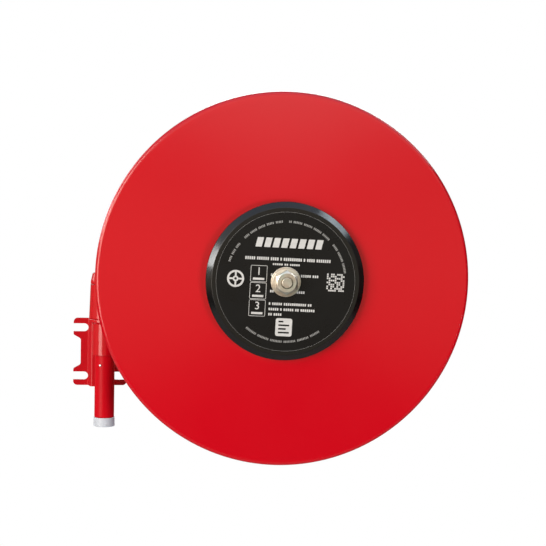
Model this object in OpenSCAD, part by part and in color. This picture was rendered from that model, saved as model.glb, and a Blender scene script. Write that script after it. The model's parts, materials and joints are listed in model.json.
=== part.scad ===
// Swinging fire hose reel: a wall bracket, a hinged arm that carries the water,
// and a drum of two pressed discs with the hose wound between them.
// Millimetres. The wall is the plane Y = 0 and the reel stands out of it towards -Y.
// X runs from the pivot towards the drum, Z is up.
// Depths below are distances from the wall, so depth d is Y = -d.

/* [Wall bracket] */
// Width of the bracket across the ears
bracket_w = 92; // [88:1:110]
// Height of the bracket
bracket_h = 117; // [110:1:140]
// Thickness of the bracket plate
bracket_t = 4; // [3:0.5:5]
// Width of the bracket between the ears
bracket_waist_w = 67; // [62:1:74]
// Width of the raised middle of the bracket
hat_w = 32; // [28:1:34]
// How far each side of the raised middle leans out
hat_lean = 4; // [2:0.5:5]
// Width of a bolt slot
slot_w = 14; // [11:0.5:15]
// Height between the upper and the lower slots
slot_pitch_z = 84; // [78:1:88]
// Width between the left and the right bolts
slot_pitch_x = 68; // [66:1:72]
// Distance from a bolt to the closed end of its slot
slot_reach = 13.5; // [12:0.5:13.5]

/* [Pivot and inlet] */
// Distance of the pivot from the middle of the bracket
pivot_x = 9; // [0:0.5:9.5]
// Distance of the pivot from the wall
pivot_depth = 42; // [40:1:56]
// Outside diameter of the pivot sleeve
sleeve_d = 42.4; // [40:0.1:46]
// Height of the pivot sleeve
sleeve_h = 54; // [44:1:58]
// Outside diameter of the inlet pipe
pipe_d = 33.7; // [30:0.1:34]
// Wall of the inlet pipe
pipe_wall = 3.2; // [2.6:0.1:4]
// How far the inlet pipe hangs below the sleeve
pipe_drop = 121; // [90:1:160]
// Length of the thread at the lower end of the inlet pipe
thread_len = 14; // [12:1:24]
// Outside diameter of the thrust collar
collar_d = 56.8; // [54:0.2:60]
// Height of the thrust collar
collar_h = 8; // [6:0.5:10]
// Height of the bevel under the thrust collar
collar_bevel = 3; // [1:0.5:4]
// Outside diameter of the inlet cap
cap_d = 35.8; // [35.4:0.1:38]
// Height of the skirt of the inlet cap over the thread
cap_skirt = 14.5; // [12:0.5:20]
// Thickness of the closed end of the inlet cap
cap_end_t = 1.5; // [1:0.1:3]
// Head diameter of the drain screw
drain_head_d = 4.5; // [4:0.5:7]

/* [Swivel housing] */
// Diameter of the housing at its foot
housing_foot_d = 54.8; // [52:0.2:58]
// Diameter of the housing under its cap
housing_top_d = 50.8; // [50:0.2:52]
// Height of the housing up to its cap
housing_h = 58.6; // [58:0.2:70]
// Diameter of the flat on top of the housing cap
housing_cap_d = 44.2; // [40:0.2:48]
// Height of the straight side of the housing cap
housing_cap_side = 4.4; // [3:0.2:8]
// Height of the sloping side of the housing cap
housing_cap_slope = 13.4; // [8:0.2:18]
// Height of the slit between the housing and its cap
housing_slit = 0.9; // [0.5:0.1:1.5]
// Depth of the cap's plug in the housing
housing_plug = 6; // [4:0.5:7]
// Wall of the pivot bushes
pivot_bush_t = 3.2; // [2.6:0.1:3.4]
// Height of a pivot bush
pivot_bush_h = 8; // [6:0.5:9]

/* [Swing arm] */
// Height of the middle of the water pipe above the foot of the housing
outlet_rise = 34.7; // [34:0.1:36]
// Wall thickness of the arm channel
arm_wall = 4; // [3:0.5:4.5]
// Half the height of the arm at the pivot
arm_half_pivot = 24; // [23:0.5:24.5]
// Half the height of the arm at the axle
arm_half_axle = 52; // [50:1:60]
// How far the arm reaches behind the middle of the water pipe
arm_back = 20; // [18:1:22]
// Outside diameter of the water pipe
water_pipe_d = 26.9; // [24:0.1:27]
// Wall of the water pipe
water_pipe_wall = 2.6; // [2:0.1:3]
// Width across the flats of the union nuts
union_af = 31; // [30.5:0.1:32]
// Length of a union nut
union_len = 20; // [16:1:24]

/* [Axle] */
// Distance of the axle from the pivot
axle_reach = 287; // [280:1:320]
// Height of the axle above the middle of the bracket
axle_z = 146; // [136:1:160]
// Diameter of the hollow axle
axle_d = 32; // [30:0.5:34]
// Water bore of the axle
water_bore = 19; // [16:0.5:20]
// Diameter of the axle flange
axle_flange_d = 88; // [86:1:90]
// Thickness of the axle flange and of the elbow flange
axle_flange_t = 6; // [5:0.5:8]
// Thread diameter at the front end of the axle
axle_thread_d = 22; // [20:0.5:24]
// Diameter of the front washer
washer_d = 47.6; // [46:0.2:52]
// Thickness of the front washer
washer_t = 3; // [2:0.5:4]
// Width across the flats of the front nut
nut_af = 34; // [32:0.5:36]
// Height of the front nut
nut_h = 18; // [14:0.5:22]
// How far the axle stands out of the front nut
axle_tip = 4; // [2:0.5:8]
// Thread diameter of the flange bolts
flange_bolt_d = 8; // [6:0.5:8]

/* [Drum] */
// Diameter of both discs
disc_d = 600; // [584:1:624]
// Distance between the rim planes of the discs
drum_w = 148; // [138:1:170]
// Sheet thickness of the discs
disc_t = 1.5; // [1.2:0.1:2]
// How far the flat centre of a disc stands out past its rim plane
disc_rise = 9.4; // [6:0.2:11]
// Radius of the rounded edge of a disc
shoulder_r = 6.5; // [4:0.5:8]
// Depth of the turned flange of a disc
flange_depth = 14; // [11:1:18]
// Diameter of the core that the hose is wound on
core_d = 200; // [196:1:216]
// Sheet thickness of the core
core_t = 2; // [1.5:0.1:2.5]
// Wall of the hub barrel
barrel_wall = 8; // [7:0.5:9]
// Thickness of the barrel flanges
barrel_flange_t = 5; // [4:0.5:6]
// Wall of the axle bushes
axle_bush_t = 4; // [3:0.5:4.5]
// Length of an axle bush
axle_bush_len = 20; // [14:1:24]
// Number of bolts through each disc
hub_bolt_count = 6; // [4:1:8]
// Number of rivets that join each disc to the core
rivet_count = 8; // [6:1:12]
// Distance of the hose tail from the axle
outlet_offset = 62; // [60:0.5:64]

/* [Hub cover] */
// Diameter of the hub cover
cover_d = 252; // [240:1:256]
// Height of the hub cover
cover_h = 18; // [16:0.5:22]
// Height of the straight side of the hub cover
cover_side = 10; // [3:0.5:12]
// Width of the sloping edge of the hub cover
cover_bevel = 9; // [6:0.5:12]
// Wall of the hub cover
cover_wall = 2.5; // [2:0.1:3]
// Diameter of the label plate
label_d = 221; // [200:1:224]
// Thickness of the label plate
label_t = 0.5; // [0.3:0.1:0.8]

/* [Hose] */
// Outside diameter of the hose
hose_d = 27; // [25:0.5:28]
// Radial room between the winding and the rim of the discs
rim_room = 50.5; // [50:0.5:60]
// Gap between neighbouring turns
turn_gap = 0.9; // [0.6:0.1:2]
// Gap between the winding and each disc
side_gap = 1; // [0.8:0.1:3]
// Length of the nozzle with its ferrule
nozzle_len = 113; // [100:1:114]
// Diameter of the turning barrel of the nozzle
nozzle_d = 34; // [30:0.5:35]
// Outlet bore of the nozzle
nozzle_bore = 9; // [6:0.5:11]

/* [Hidden] */
$fn = 96;

// Clearances
run_gap = 0.3;      // between faces of pieces that move past each other
fit_gap = 0.05;     // radial, between a shaft and its bush
seat_gap = 0.1;     // radial, around a bolt, pin or pipe in its hole
cut = 1;            // how far a cutting shape runs past the face it cuts

// Wall bracket
hat_front_depth = pivot_depth - sleeve_d / 2;
ear_corner_r = 7;
ear_tip = 2.7;
ear_taper = 5.5;
ear_lip = 7;
bolt_x = slot_pitch_x / 2;
bolt_z = slot_pitch_z / 2;
slot_end_x = bolt_x - slot_reach + slot_w / 2;

// Pivot stack, heights above the middle of the bracket
pipe_r = pipe_d / 2;
sleeve_r = sleeve_d / 2;
collar_z = sleeve_h;
collar_room = 0.8;
housing_z = collar_z + collar_h + run_gap;
housing_bore_r = pipe_r + fit_gap + pivot_bush_t;
seal_r = 1.5;
pivot_seal_room = 2 * seal_r + 0.4;
pivot_ledge = 2;
ledge_room = 0.7;
lower_bush_z = housing_z + run_gap;
pivot_seal_z = lower_bush_z + pivot_bush_h + pivot_seal_room / 2;
ledge_z = lower_bush_z + pivot_bush_h + pivot_seal_room;
upper_bush_z = ledge_z + pivot_ledge;
clip_z = upper_bush_z + pivot_bush_h + run_gap;
clip_h = 1.5;
clip_r = housing_bore_r - 0.5;
clip_groove_r = pipe_r - 1;
pipe_end = 1.5;
pipe_top_z = clip_z + clip_h + pipe_end;
pipe_bottom_z = -pipe_drop;
thread_r = pipe_r - 0.65;
housing_top_z = housing_z + housing_h;
housing_cap_z = housing_top_z + housing_slit;
drain_z = -17;
drain_turn = -25;
drain_thread_r = 1.5;

// Water pipe line, from the pivot up to the axle
axle_x = pivot_x + axle_reach;
outlet_z = housing_z + outlet_rise;
arm_rise = axle_z - outlet_z;
arm_len = norm([axle_reach, arm_rise]);
arm_tilt = atan2(arm_rise, axle_reach);
water_pipe_r = water_pipe_d / 2;
water_pipe_bore_r = water_pipe_r - water_pipe_wall;
boss_wall = 2.5;
boss_r = water_pipe_r + boss_wall;
boss_end = housing_foot_d / 2 + 3;
spigot_len = 8;
port_end = axle_flange_d / 2 + 1;
port_bore = water_bore - 1.5;
elbow_wall = 8;
arm_start = housing_top_d / 4;
cap_room = 0.5;
flange_bolt_count = 4;
flange_bolt_turn = 45;

// Depths of the drum and of what carries it
union_corner_r = union_af / sqrt(3);
union_room = 0.8;
neck_out = 2;
rear_rim_depth = pivot_depth + union_corner_r + union_room + arm_wall
    + axle_flange_t + run_gap + neck_out + disc_rise;
front_rim_depth = rear_rim_depth + drum_w;
rear_face_depth = rear_rim_depth - disc_rise;
front_face_depth = front_rim_depth + disc_rise;
rear_neck_depth = rear_face_depth - neck_out;
axle_flange_depth = rear_neck_depth - run_gap - axle_flange_t;
web_depth = axle_flange_depth - arm_wall;
elbow_flange_depth = web_depth - axle_flange_t;
arm_back_depth = pivot_depth - arm_back;
cover_face_depth = front_face_depth + cover_h;
washer_depth = cover_face_depth + label_t + 0.7;
front_neck_depth = washer_depth - run_gap;
nut_depth = washer_depth + washer_t;
axle_end_depth = nut_depth + nut_h + axle_tip;
mid_depth = (rear_rim_depth + front_rim_depth) / 2;

// Hub
axle_r = axle_d / 2;
barrel_bore_r = axle_r + fit_gap + axle_bush_t;
barrel_r = barrel_bore_r + barrel_wall;
neck_r = barrel_bore_r + 2;
hub_bolt_d = 6;
hub_bolt_room = 10;
barrel_flange_edge = 10;
cover_screw_room = 10;
hub_bolt_r = axle_flange_d / 2 + hub_bolt_room;
barrel_flange_r = hub_bolt_r + barrel_flange_edge;
cover_screw_r = barrel_flange_r + cover_screw_room;
chamber_half = 10;
axle_seal_r = 1.95;
axle_seal_offset = 20;
port_hole_r = 6;
flange_bolt_edge = 10;
flange_bolt_r = axle_flange_d / 2 - flange_bolt_edge;
outlet_r = 14;
outlet_boss_out = 14;
outlet_start = barrel_r + outlet_boss_out;
outlet_reach = 20;
tail_r = hose_d / 2 - 4.1;
tail_shoulder = 4;
tail_len = 40;
barb_count = 4;
hose_stub_x = outlet_reach + tail_shoulder + 2;
cover_screw_count = 3;
cover_screw_turn = 30;
cover_screw_shank_r = 2;
cover_screw_bite = 8;

// Discs
disc_r = disc_d / 2;
disc_flat_r = cover_d / 2 + 1;
disc_cone_r = disc_r - shoulder_r;
core_r = core_d / 2;
core_lip = 16;
hose_hole_room = 1.5;
rivet_r = core_r - core_lip / 2 - core_t / 2;
rivet_shank_r = 2.4;

// Hose winding
hose_r = hose_d / 2;
rings_per_turn = 24;
tube_sides = 6;
wound_r = disc_r - rim_room;
wrap_r = wound_r - hose_r;
hose_core_r = (wrap_r - hose_r) * cos(180 / rings_per_turn) - run_gap;
first_wrap_depth = inner_face(wound_r) + side_gap + hose_r;
last_wrap_depth = 2 * mid_depth - first_wrap_depth;
turns = (last_wrap_depth - first_wrap_depth) / (hose_d + turn_gap);
lift_angle = 165;
start_angle = lift_angle + 360 * turns;
ramp_r = 190;
ramp_sweep = 92;

// Stowed nozzle, which lies along the top of the winding
nozzle_r = nozzle_d / 2;
nozzle_lift = 0.4;
nozzle_line = wound_r + nozzle_r + nozzle_lift;
nozzle_start_x = -46;
hose_end_x = nozzle_start_x - run_gap;
line_start_x = hose_end_x - hose_d;
nozzle_depth = last_wrap_depth - 1.5 * (hose_d + turn_gap);
ferrule_len = 27;
neck_len = 20;
nozzle_spigot_r = 10;
nozzle_spigot_len = 32;
nozzle_way_r = nozzle_bore / 2 + 1;
nozzle_end_x = nozzle_start_x + nozzle_len;
body_start_x = nozzle_start_x + ferrule_len;
barrel_start_x = body_start_x + neck_len + run_gap;
spigot_end_x = barrel_start_x + nozzle_spigot_len;

// ---- Frames -------------------------------------------------------------

// Local z is the depth from the wall, local x is X and local y is Z.
module from_wall() {
    rotate([90, 0, 0]) children();
}

module on_axle() {
    translate([axle_x, 0, axle_z]) from_wall() children();
}

module on_pivot() {
    translate([pivot_x, -pivot_depth, 0]) children();
}

// Local z runs along the water pipe, from the pivot to the axle.
module along_arm() {
    translate([pivot_x, -pivot_depth, outlet_z]) rotate([0, 90 - arm_tilt, 0]) children();
}

function along(angle) = [cos(angle), sin(angle)];

module around(count, radius, first = 0) {
    for (i = [0 : count - 1])
        rotate(first + i * 360 / count) translate([radius, 0, 0]) children();
}

module tube(outer, inner, height) {
    difference() {
        cylinder(r = outer, h = height);
        translate([0, 0, -cut]) cylinder(r = inner, h = height + 2 * cut);
    }
}

module ring_seal(middle, section) {
    rotate_extrude() translate([middle, 0]) circle(r = section, $fn = 32);
}

// Hexagon bar across the flats, with its corners turned off on top
module hex_bar(flats, height) {
    corner = flats / sqrt(3);
    intersection() {
        cylinder(r = corner, h = height, $fn = 6);
        union() {
            cylinder(r = corner + cut, h = height - flats / 16);
            translate([0, 0, height - flats / 16])
                cylinder(r1 = corner, r2 = flats / 2 - 0.5, h = flats / 16);
        }
    }
}

// ---- Wall bracket -------------------------------------------------------

// Section of the bracket, x across and y as depth
module hat_section() {
    half = bracket_w / 2;
    top = hat_w / 2;
    foot = top + hat_lean;
    inner_top = top - bracket_t * 0.8;
    inner_foot = foot - bracket_t * 0.8;
    polygon([
        [-half, 0], [-inner_foot, 0], [-inner_top, hat_front_depth - bracket_t],
        [inner_top, hat_front_depth - bracket_t], [inner_foot, 0], [half, 0],
        [half, bracket_t], [foot, bracket_t], [top, hat_front_depth],
        [-top, hat_front_depth], [-foot, bracket_t], [-half, bracket_t]
    ]);
}

// One quarter of the outline, with the outer ear rounded and its lower lip tapered
module bracket_quarter() {
    half = bracket_w / 2;
    top = bracket_h / 2;
    waist = bracket_waist_w / 2;
    lip_z = bolt_z - slot_w / 2;
    difference() {
        square([half, top]);
        difference() {
            translate([half - ear_corner_r, top - ear_corner_r])
                square(ear_corner_r + cut);
            translate([half - ear_corner_r, top - ear_corner_r]) circle(r = ear_corner_r);
        }
        polygon([
            [waist, -cut], [waist, lip_z - ear_lip - ear_taper],
            [half - ear_tip, lip_z - ear_lip], [half, lip_z - ear_lip + ear_tip],
            [half + cut, lip_z - ear_lip + ear_tip], [half + cut, -cut]
        ]);
    }
}

module bracket_outline() {
    for (flip_x = [0, 1])
        for (flip_z = [0, 1])
            mirror([flip_x, 0]) mirror([0, flip_z]) bracket_quarter();
}

module bolt_slots() {
    for (side = [-1, 1])
        for (level = [-1, 1])
            translate([side * slot_end_x, level * bolt_z]) {
                circle(d = slot_w);
                translate([side > 0 ? 0 : -bracket_w, -slot_w / 2])
                    square([bracket_w, slot_w]);
            }
}

// The raised middle is cut away round the thrust collar
module wall_bracket() {
    color("firebrick")
    difference() {
        intersection() {
            translate([0, 0, -bracket_h / 2])
                linear_extrude(bracket_h) mirror([0, 1]) hat_section();
            from_wall() translate([0, 0, -cut])
                linear_extrude(hat_front_depth + 2 * cut)
                    difference() {
                        bracket_outline();
                        bolt_slots();
                    }
        }
        on_pivot() translate([0, 0, collar_z - collar_room])
            cylinder(r = collar_d / 2 + collar_room, h = bracket_h);
    }
}

// ---- Pivot and inlet ----------------------------------------------------

// Tube with a weld where it lies on the bracket
module pivot_sleeve() {
    weld_half = 6;
    weld_out = 3;
    weld_len = sleeve_h * 0.9;
    color("crimson")
    difference() {
        union() {
            on_pivot() cylinder(r = sleeve_r, h = sleeve_h);
            translate([pivot_x, -hat_front_depth, (sleeve_h - weld_len) / 2])
                linear_extrude(weld_len)
                    polygon([
                        [-weld_half, 0], [weld_half, 0],
                        [weld_half - weld_out, -weld_out], [weld_out - weld_half, -weld_out]
                    ]);
        }
        on_pivot() translate([0, 0, -cut])
            cylinder(r = pipe_r + seat_gap, h = sleeve_h + 2 * cut);
    }
}

module inlet_pipe() {
    color("crimson")
    on_pivot() difference() {
        rotate_extrude() polygon([
            [0, pipe_bottom_z], [thread_r, pipe_bottom_z],
            [thread_r, pipe_bottom_z + thread_len], [pipe_r, pipe_bottom_z + thread_len],
            [pipe_r, clip_z - seat_gap], [clip_groove_r, clip_z - seat_gap],
            [clip_groove_r, clip_z + clip_h + seat_gap], [pipe_r, clip_z + clip_h + seat_gap],
            [pipe_r, pipe_top_z], [0, pipe_top_z]
        ]);
        translate([0, 0, pipe_bottom_z - cut])
            cylinder(r = pipe_r - pipe_wall, h = pipe_top_z - pipe_bottom_z + 2 * cut);
        drain_place() translate([0, 0, -pipe_wall - cut])
            cylinder(r = drain_thread_r + seat_gap, h = pipe_wall + 2 * cut, $fn = 24);
    }
}

// Local z points out of the pipe, from its outside surface
module drain_place() {
    rotate(drain_turn) translate([0, -pipe_r, drain_z]) rotate([90, 0, 0]) children();
}

// Its head stands just off the round pipe
module drain_screw() {
    head_h = 1.8;
    head_gap = 0.2;
    color("gainsboro")
    on_pivot() drain_place() {
        translate([0, 0, -pipe_wall])
            cylinder(r = drain_thread_r, h = pipe_wall + head_gap + head_h / 2, $fn = 24);
        translate([0, 0, head_gap])
            cylinder(d1 = drain_head_d, d2 = drain_head_d * 0.7, h = head_h, $fn = 32);
    }
}

module thrust_collar() {
    foot_r = sleeve_r + 0.6;
    color("crimson")
    on_pivot() translate([0, 0, collar_z]) rotate_extrude() polygon([
        [pipe_r + seat_gap, 0], [foot_r, 0], [collar_d / 2, collar_bevel],
        [collar_d / 2, collar_h], [pipe_r + seat_gap, collar_h]
    ]);
}

// Split ring in a groove of the inlet pipe, which keeps the housing on it
module pivot_circlip() {
    split = 6;
    color("dimgray")
    on_pivot() translate([0, 0, clip_z]) difference() {
        tube(clip_r, clip_groove_r + seat_gap, clip_h);
        translate([0, -split / 2, -cut]) cube([clip_r + cut, split, clip_h + 2 * cut]);
    }
}

module inlet_cap() {
    cap_top = pipe_bottom_z + min(cap_skirt, thread_len) - run_gap;
    cap_in = thread_r + run_gap;
    flare = 0.3;
    flare_h = 10;
    cap_floor = pipe_bottom_z - run_gap;
    color("whitesmoke")
    on_pivot() rotate_extrude() polygon([
        [0, cap_floor - cap_end_t], [cap_d / 2 + flare, cap_floor - cap_end_t],
        [cap_d / 2, cap_floor - cap_end_t + flare_h], [cap_d / 2, cap_top], [cap_in, cap_top],
        [cap_in, cap_floor], [0, cap_floor]
    ]);
}

// ---- Swivel housing -----------------------------------------------------

module housing_outside() {
    translate([0, 0, housing_z])
        cylinder(d1 = housing_foot_d, d2 = housing_top_d, h = housing_h);
}

module swivel_housing() {
    color("crimson")
    difference() {
        union() {
            on_pivot() housing_outside();
            along_arm() cylinder(r = boss_r, h = boss_end);
            along_arm() cylinder(r = water_pipe_r, h = boss_end + spigot_len);
        }
        on_pivot() translate([0, 0, housing_z - cut])
            cylinder(r = housing_bore_r, h = ledge_z - housing_z + cut);
        on_pivot() translate([0, 0, ledge_z - cut])
            cylinder(r = pipe_r + ledge_room, h = pivot_ledge + 2 * cut);
        on_pivot() translate([0, 0, upper_bush_z])
            cylinder(r = housing_bore_r, h = housing_top_z - upper_bush_z + cut);
        along_arm() cylinder(r = water_bore / 2, h = boss_end + spigot_len + cut);
    }
}

// Plug screwed into the top of the housing
module housing_cap() {
    plug_r = housing_bore_r - seat_gap;
    plug_z = housing_top_z - housing_plug;
    side_draft = 0.3;
    slope_z = housing_cap_z + housing_cap_side;
    top_z = slope_z + housing_cap_slope;
    color("crimson")
    on_pivot() rotate_extrude() polygon([
        [0, plug_z], [plug_r, plug_z], [plug_r, housing_cap_z], [housing_top_d / 2, housing_cap_z],
        [housing_top_d / 2 - side_draft, slope_z], [housing_cap_d / 2, top_z], [0, top_z]
    ]);
}

module lower_pivot_bush() {
    color("goldenrod")
    on_pivot() translate([0, 0, lower_bush_z])
        tube(housing_bore_r, pipe_r + fit_gap, pivot_bush_h);
}

module upper_pivot_bush() {
    color("goldenrod")
    on_pivot() translate([0, 0, upper_bush_z])
        tube(housing_bore_r, pipe_r + fit_gap, pivot_bush_h);
}

module pivot_seal() {
    middle = pipe_r + fit_gap + pivot_bush_t / 2;
    color("black")
    on_pivot() translate([0, 0, pivot_seal_z])
        ring_seal(middle, min(seal_r, pivot_bush_t / 2 - seat_gap / 2));
}

// ---- Swing arm ----------------------------------------------------------

// Outline of the arm, which widens from the pivot to a round end about the axle
module arm_outline(inset) {
    r_pivot = arm_half_pivot - inset;
    r_axle = arm_half_axle - inset;
    spread = acos((r_pivot - r_axle) / arm_len);
    arc_steps = 36;
    polygon([
        r_pivot * along(-spread),
        for (i = [0 : arc_steps])
            [arm_len, 0] + r_axle * along(spread * (2 * i / arc_steps - 1)),
        r_pivot * along(spread)
    ]);
}

// Local x runs from the pivot to the axle, local z is the depth
module on_arm_plane() {
    translate([pivot_x, 0, outlet_z]) from_wall() rotate(arm_tilt) children();
}

module arm_channel() {
    color("crimson")
    difference() {
        on_arm_plane() difference() {
            translate([0, 0, arm_back_depth])
                linear_extrude(axle_flange_depth - arm_back_depth) arm_outline(0);
            translate([0, 0, arm_back_depth - cut])
                linear_extrude(web_depth - arm_back_depth + cut) arm_outline(arm_wall);
            translate([-arm_half_pivot, -arm_half_pivot - cut, 0])
                cube([arm_half_pivot + arm_start, 2 * arm_half_pivot + 2 * cut, 2 * pivot_depth]);
            translate([arm_len, 0, 0]) cylinder(r = axle_r + seat_gap, h = 2 * pivot_depth);
            translate([arm_len, 0, 0]) around(flange_bolt_count, flange_bolt_r, flange_bolt_turn)
                cylinder(d = flange_bolt_d + 2 * seat_gap, h = 2 * pivot_depth, $fn = 32);
        }
        on_pivot() housing_outside();
        on_pivot() translate([0, 0, housing_top_z - cap_room])
            cylinder(d = housing_top_d + 2 * cap_room, h = 2 * arm_half_pivot);
        along_arm() cylinder(r = boss_r, h = boss_end);
    }
}

module water_pipe() {
    color("crimson")
    along_arm() translate([0, 0, boss_end + spigot_len])
        tube(water_pipe_r, water_pipe_bore_r, arm_len - port_end - boss_end - 2 * spigot_len);
}

module union_nut() {
    difference() {
        hex_bar(union_af, union_len);
        translate([0, 0, -cut]) cylinder(r = water_pipe_r + seat_gap, h = union_len + 2 * cut);
    }
}

module union_nuts() {
    color("goldenrod") {
        along_arm() translate([0, 0, boss_end]) union_nut();
        along_arm() translate([0, 0, arm_len - port_end]) mirror([0, 0, 1]) union_nut();
    }
}

// Turns the water from the pipe into the axle
module axle_elbow() {
    body_r = water_bore / 2 + elbow_wall;
    back = pivot_depth - body_r;
    color("darkgoldenrod")
    difference() {
        union() {
            on_axle() translate([0, 0, back])
                cylinder(r = body_r, h = web_depth - back);
            on_axle() translate([0, 0, elbow_flange_depth])
                cylinder(d = axle_flange_d, h = axle_flange_t);
            along_arm() translate([0, 0, arm_len - port_end]) cylinder(r = boss_r, h = port_end);
            along_arm() translate([0, 0, arm_len - port_end - spigot_len])
                cylinder(r = water_pipe_r, h = port_end);
        }
        on_axle() translate([0, 0, pivot_depth])
            cylinder(d = water_bore, h = web_depth - pivot_depth + cut);
        along_arm() translate([0, 0, arm_len - port_end - spigot_len - cut])
            cylinder(d = port_bore, h = port_end + spigot_len + 2 * cut);
        on_axle() translate([0, 0, pivot_depth]) sphere(d = water_bore);
        on_axle() around(flange_bolt_count, flange_bolt_r, arm_tilt + flange_bolt_turn)
            cylinder(d = flange_bolt_d + 2 * seat_gap, h = web_depth + cut, $fn = 32);
    }
}

// Hexagon screws from the elbow's side, threaded into the axle flange
module flange_bolts() {
    head_h = flange_bolt_d * 0.65;
    flats = flange_bolt_d * 1.6;
    grip = axle_flange_depth + axle_flange_t - elbow_flange_depth;
    color("silver")
    on_axle() around(flange_bolt_count, flange_bolt_r, arm_tilt + flange_bolt_turn)
        translate([0, 0, elbow_flange_depth]) {
            mirror([0, 0, 1]) hex_bar(flats, head_h);
            translate([0, 0, -head_h / 2]) cylinder(d = flange_bolt_d, h = grip + head_h / 2);
        }
}

// ---- Axle ---------------------------------------------------------------

// Hollow up to the chamber of the hub, where four cross holes let the water out
module axle() {
    flange_front = axle_flange_depth + axle_flange_t;
    thread_r = axle_thread_d / 2;
    end_chamfer = 1;
    bore_end = mid_depth + chamber_half;
    color("silver")
    on_axle() difference() {
        rotate_extrude() polygon([
            [0, web_depth], [axle_r, web_depth], [axle_r, axle_flange_depth],
            [axle_flange_d / 2, axle_flange_depth], [axle_flange_d / 2, flange_front],
            [axle_r, flange_front], [axle_r, washer_depth], [thread_r, washer_depth],
            [thread_r, axle_end_depth - end_chamfer], [thread_r - end_chamfer, axle_end_depth],
            [0, axle_end_depth]
        ]);
        translate([0, 0, web_depth - cut])
            cylinder(d = water_bore, h = bore_end - web_depth + cut);
        for (turn = [0, 90])
            translate([0, 0, mid_depth]) rotate([90, 0, turn])
                cylinder(r = port_hole_r, h = 2 * axle_r + 2 * cut, center = true, $fn = 48);
        around(flange_bolt_count, flange_bolt_r, arm_tilt + flange_bolt_turn)
            translate([0, 0, web_depth])
                cylinder(d = flange_bolt_d + 2 * seat_gap, h = flange_front - web_depth + cut, $fn = 32);
    }
}

module front_washer() {
    color("darkkhaki")
    on_axle() translate([0, 0, washer_depth])
        tube(washer_d / 2, axle_thread_d / 2 + seat_gap, washer_t);
}

// Flanged hexagon nut, tightened with one corner upwards
module front_nut() {
    skirt_h = 3.5;
    skirt_inset = 2;
    corner_up = 30;
    color("darkkhaki")
    on_axle() translate([0, 0, nut_depth]) difference() {
        union() {
            rotate(corner_up) hex_bar(nut_af, nut_h);
            cylinder(r1 = washer_d / 2 - skirt_inset, r2 = nut_af / 2, h = skirt_h);
        }
        translate([0, 0, -cut]) cylinder(d = axle_thread_d + 2 * seat_gap, h = nut_h + 2 * cut);
    }
}

// ---- Drum ---------------------------------------------------------------

// Depth of the inner face of the rear disc at a radius
function inner_face(radius) =
    rear_rim_depth + disc_t
    - disc_rise * min(1, max(0, (disc_cone_r - radius) / (disc_cone_r - disc_flat_r)));

// Half section of a disc's solid pan, x as radius and y towards the outside
module pan_section(inset) {
    base = -flange_depth - (inset > 0 ? cut : 0);
    polygon([
        [0, base], [disc_cone_r, base], [disc_cone_r, -inset],
        [disc_flat_r, disc_rise - inset], [0, disc_rise - inset]
    ]);
    translate([disc_cone_r, -shoulder_r]) circle(r = shoulder_r - inset, $fn = 64);
    translate([disc_cone_r, base])
        square([shoulder_r - inset, -shoulder_r - base]);
}

module pressed_disc() {
    difference() {
        rotate_extrude() difference() {
            pan_section(0);
            pan_section(disc_t);
        }
        cylinder(r = neck_r + seat_gap, h = disc_rise + cut);
        around(hub_bolt_count, hub_bolt_r)
            cylinder(d = hub_bolt_d + 2 * seat_gap, h = disc_rise + cut, $fn = 32);
        around(rivet_count, rivet_r, 180 / rivet_count)
            cylinder(r = rivet_shank_r + seat_gap, h = disc_rise + cut, $fn = 32);
    }
}

module rear_disc() {
    color("red")
    on_axle() translate([0, 0, rear_rim_depth]) mirror([0, 0, 1]) pressed_disc();
}

module front_disc() {
    color("red")
    on_axle() translate([0, 0, front_rim_depth]) difference() {
        pressed_disc();
        around(cover_screw_count, cover_screw_r, cover_screw_turn)
            cylinder(r = cover_screw_shank_r + seat_gap, h = disc_rise + cut, $fn = 32);
    }
}

// Sheet cylinder between the discs, with a lip at each end and a hole for the hose
module core_drum() {
    start = rear_face_depth + disc_t;
    width = front_face_depth - disc_t - start;
    color("firebrick")
    on_axle() difference() {
        translate([0, 0, start]) rotate_extrude() difference() {
            translate([core_r - core_lip, 0]) square([core_lip, width]);
            translate([0, core_t]) square([core_r - core_t, width - 2 * core_t]);
        }
        translate([0, outlet_offset, mid_depth]) rotate([0, 90, 0])
            cylinder(r = hose_r + hose_hole_room, h = core_r + cut);
        around(rivet_count, rivet_r, 180 / rivet_count)
            cylinder(r = rivet_shank_r + seat_gap, h = front_face_depth + cut, $fn = 32);
    }
}

module core_rivets() {
    grip = disc_t + core_t;
    head_r = 4.2;
    head_h = 1.6;
    tail_end_r = 3.6;
    crown_r = 2.6;
    color("silver")
    on_axle() around(rivet_count, rivet_r, 180 / rivet_count)
        for (place = [[rear_face_depth, 0], [front_face_depth, 1]])
            translate([0, 0, place[0]]) mirror([0, 0, place[1]]) {
                translate([0, 0, -head_h]) cylinder(r1 = crown_r, r2 = head_r, h = head_h, $fn = 32);
                translate([0, 0, -head_h / 2])
                    cylinder(r = rivet_shank_r, h = grip + head_h, $fn = 32);
                translate([0, 0, grip]) cylinder(r1 = tail_end_r, r2 = crown_r, h = head_h, $fn = 32);
            }
}

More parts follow.
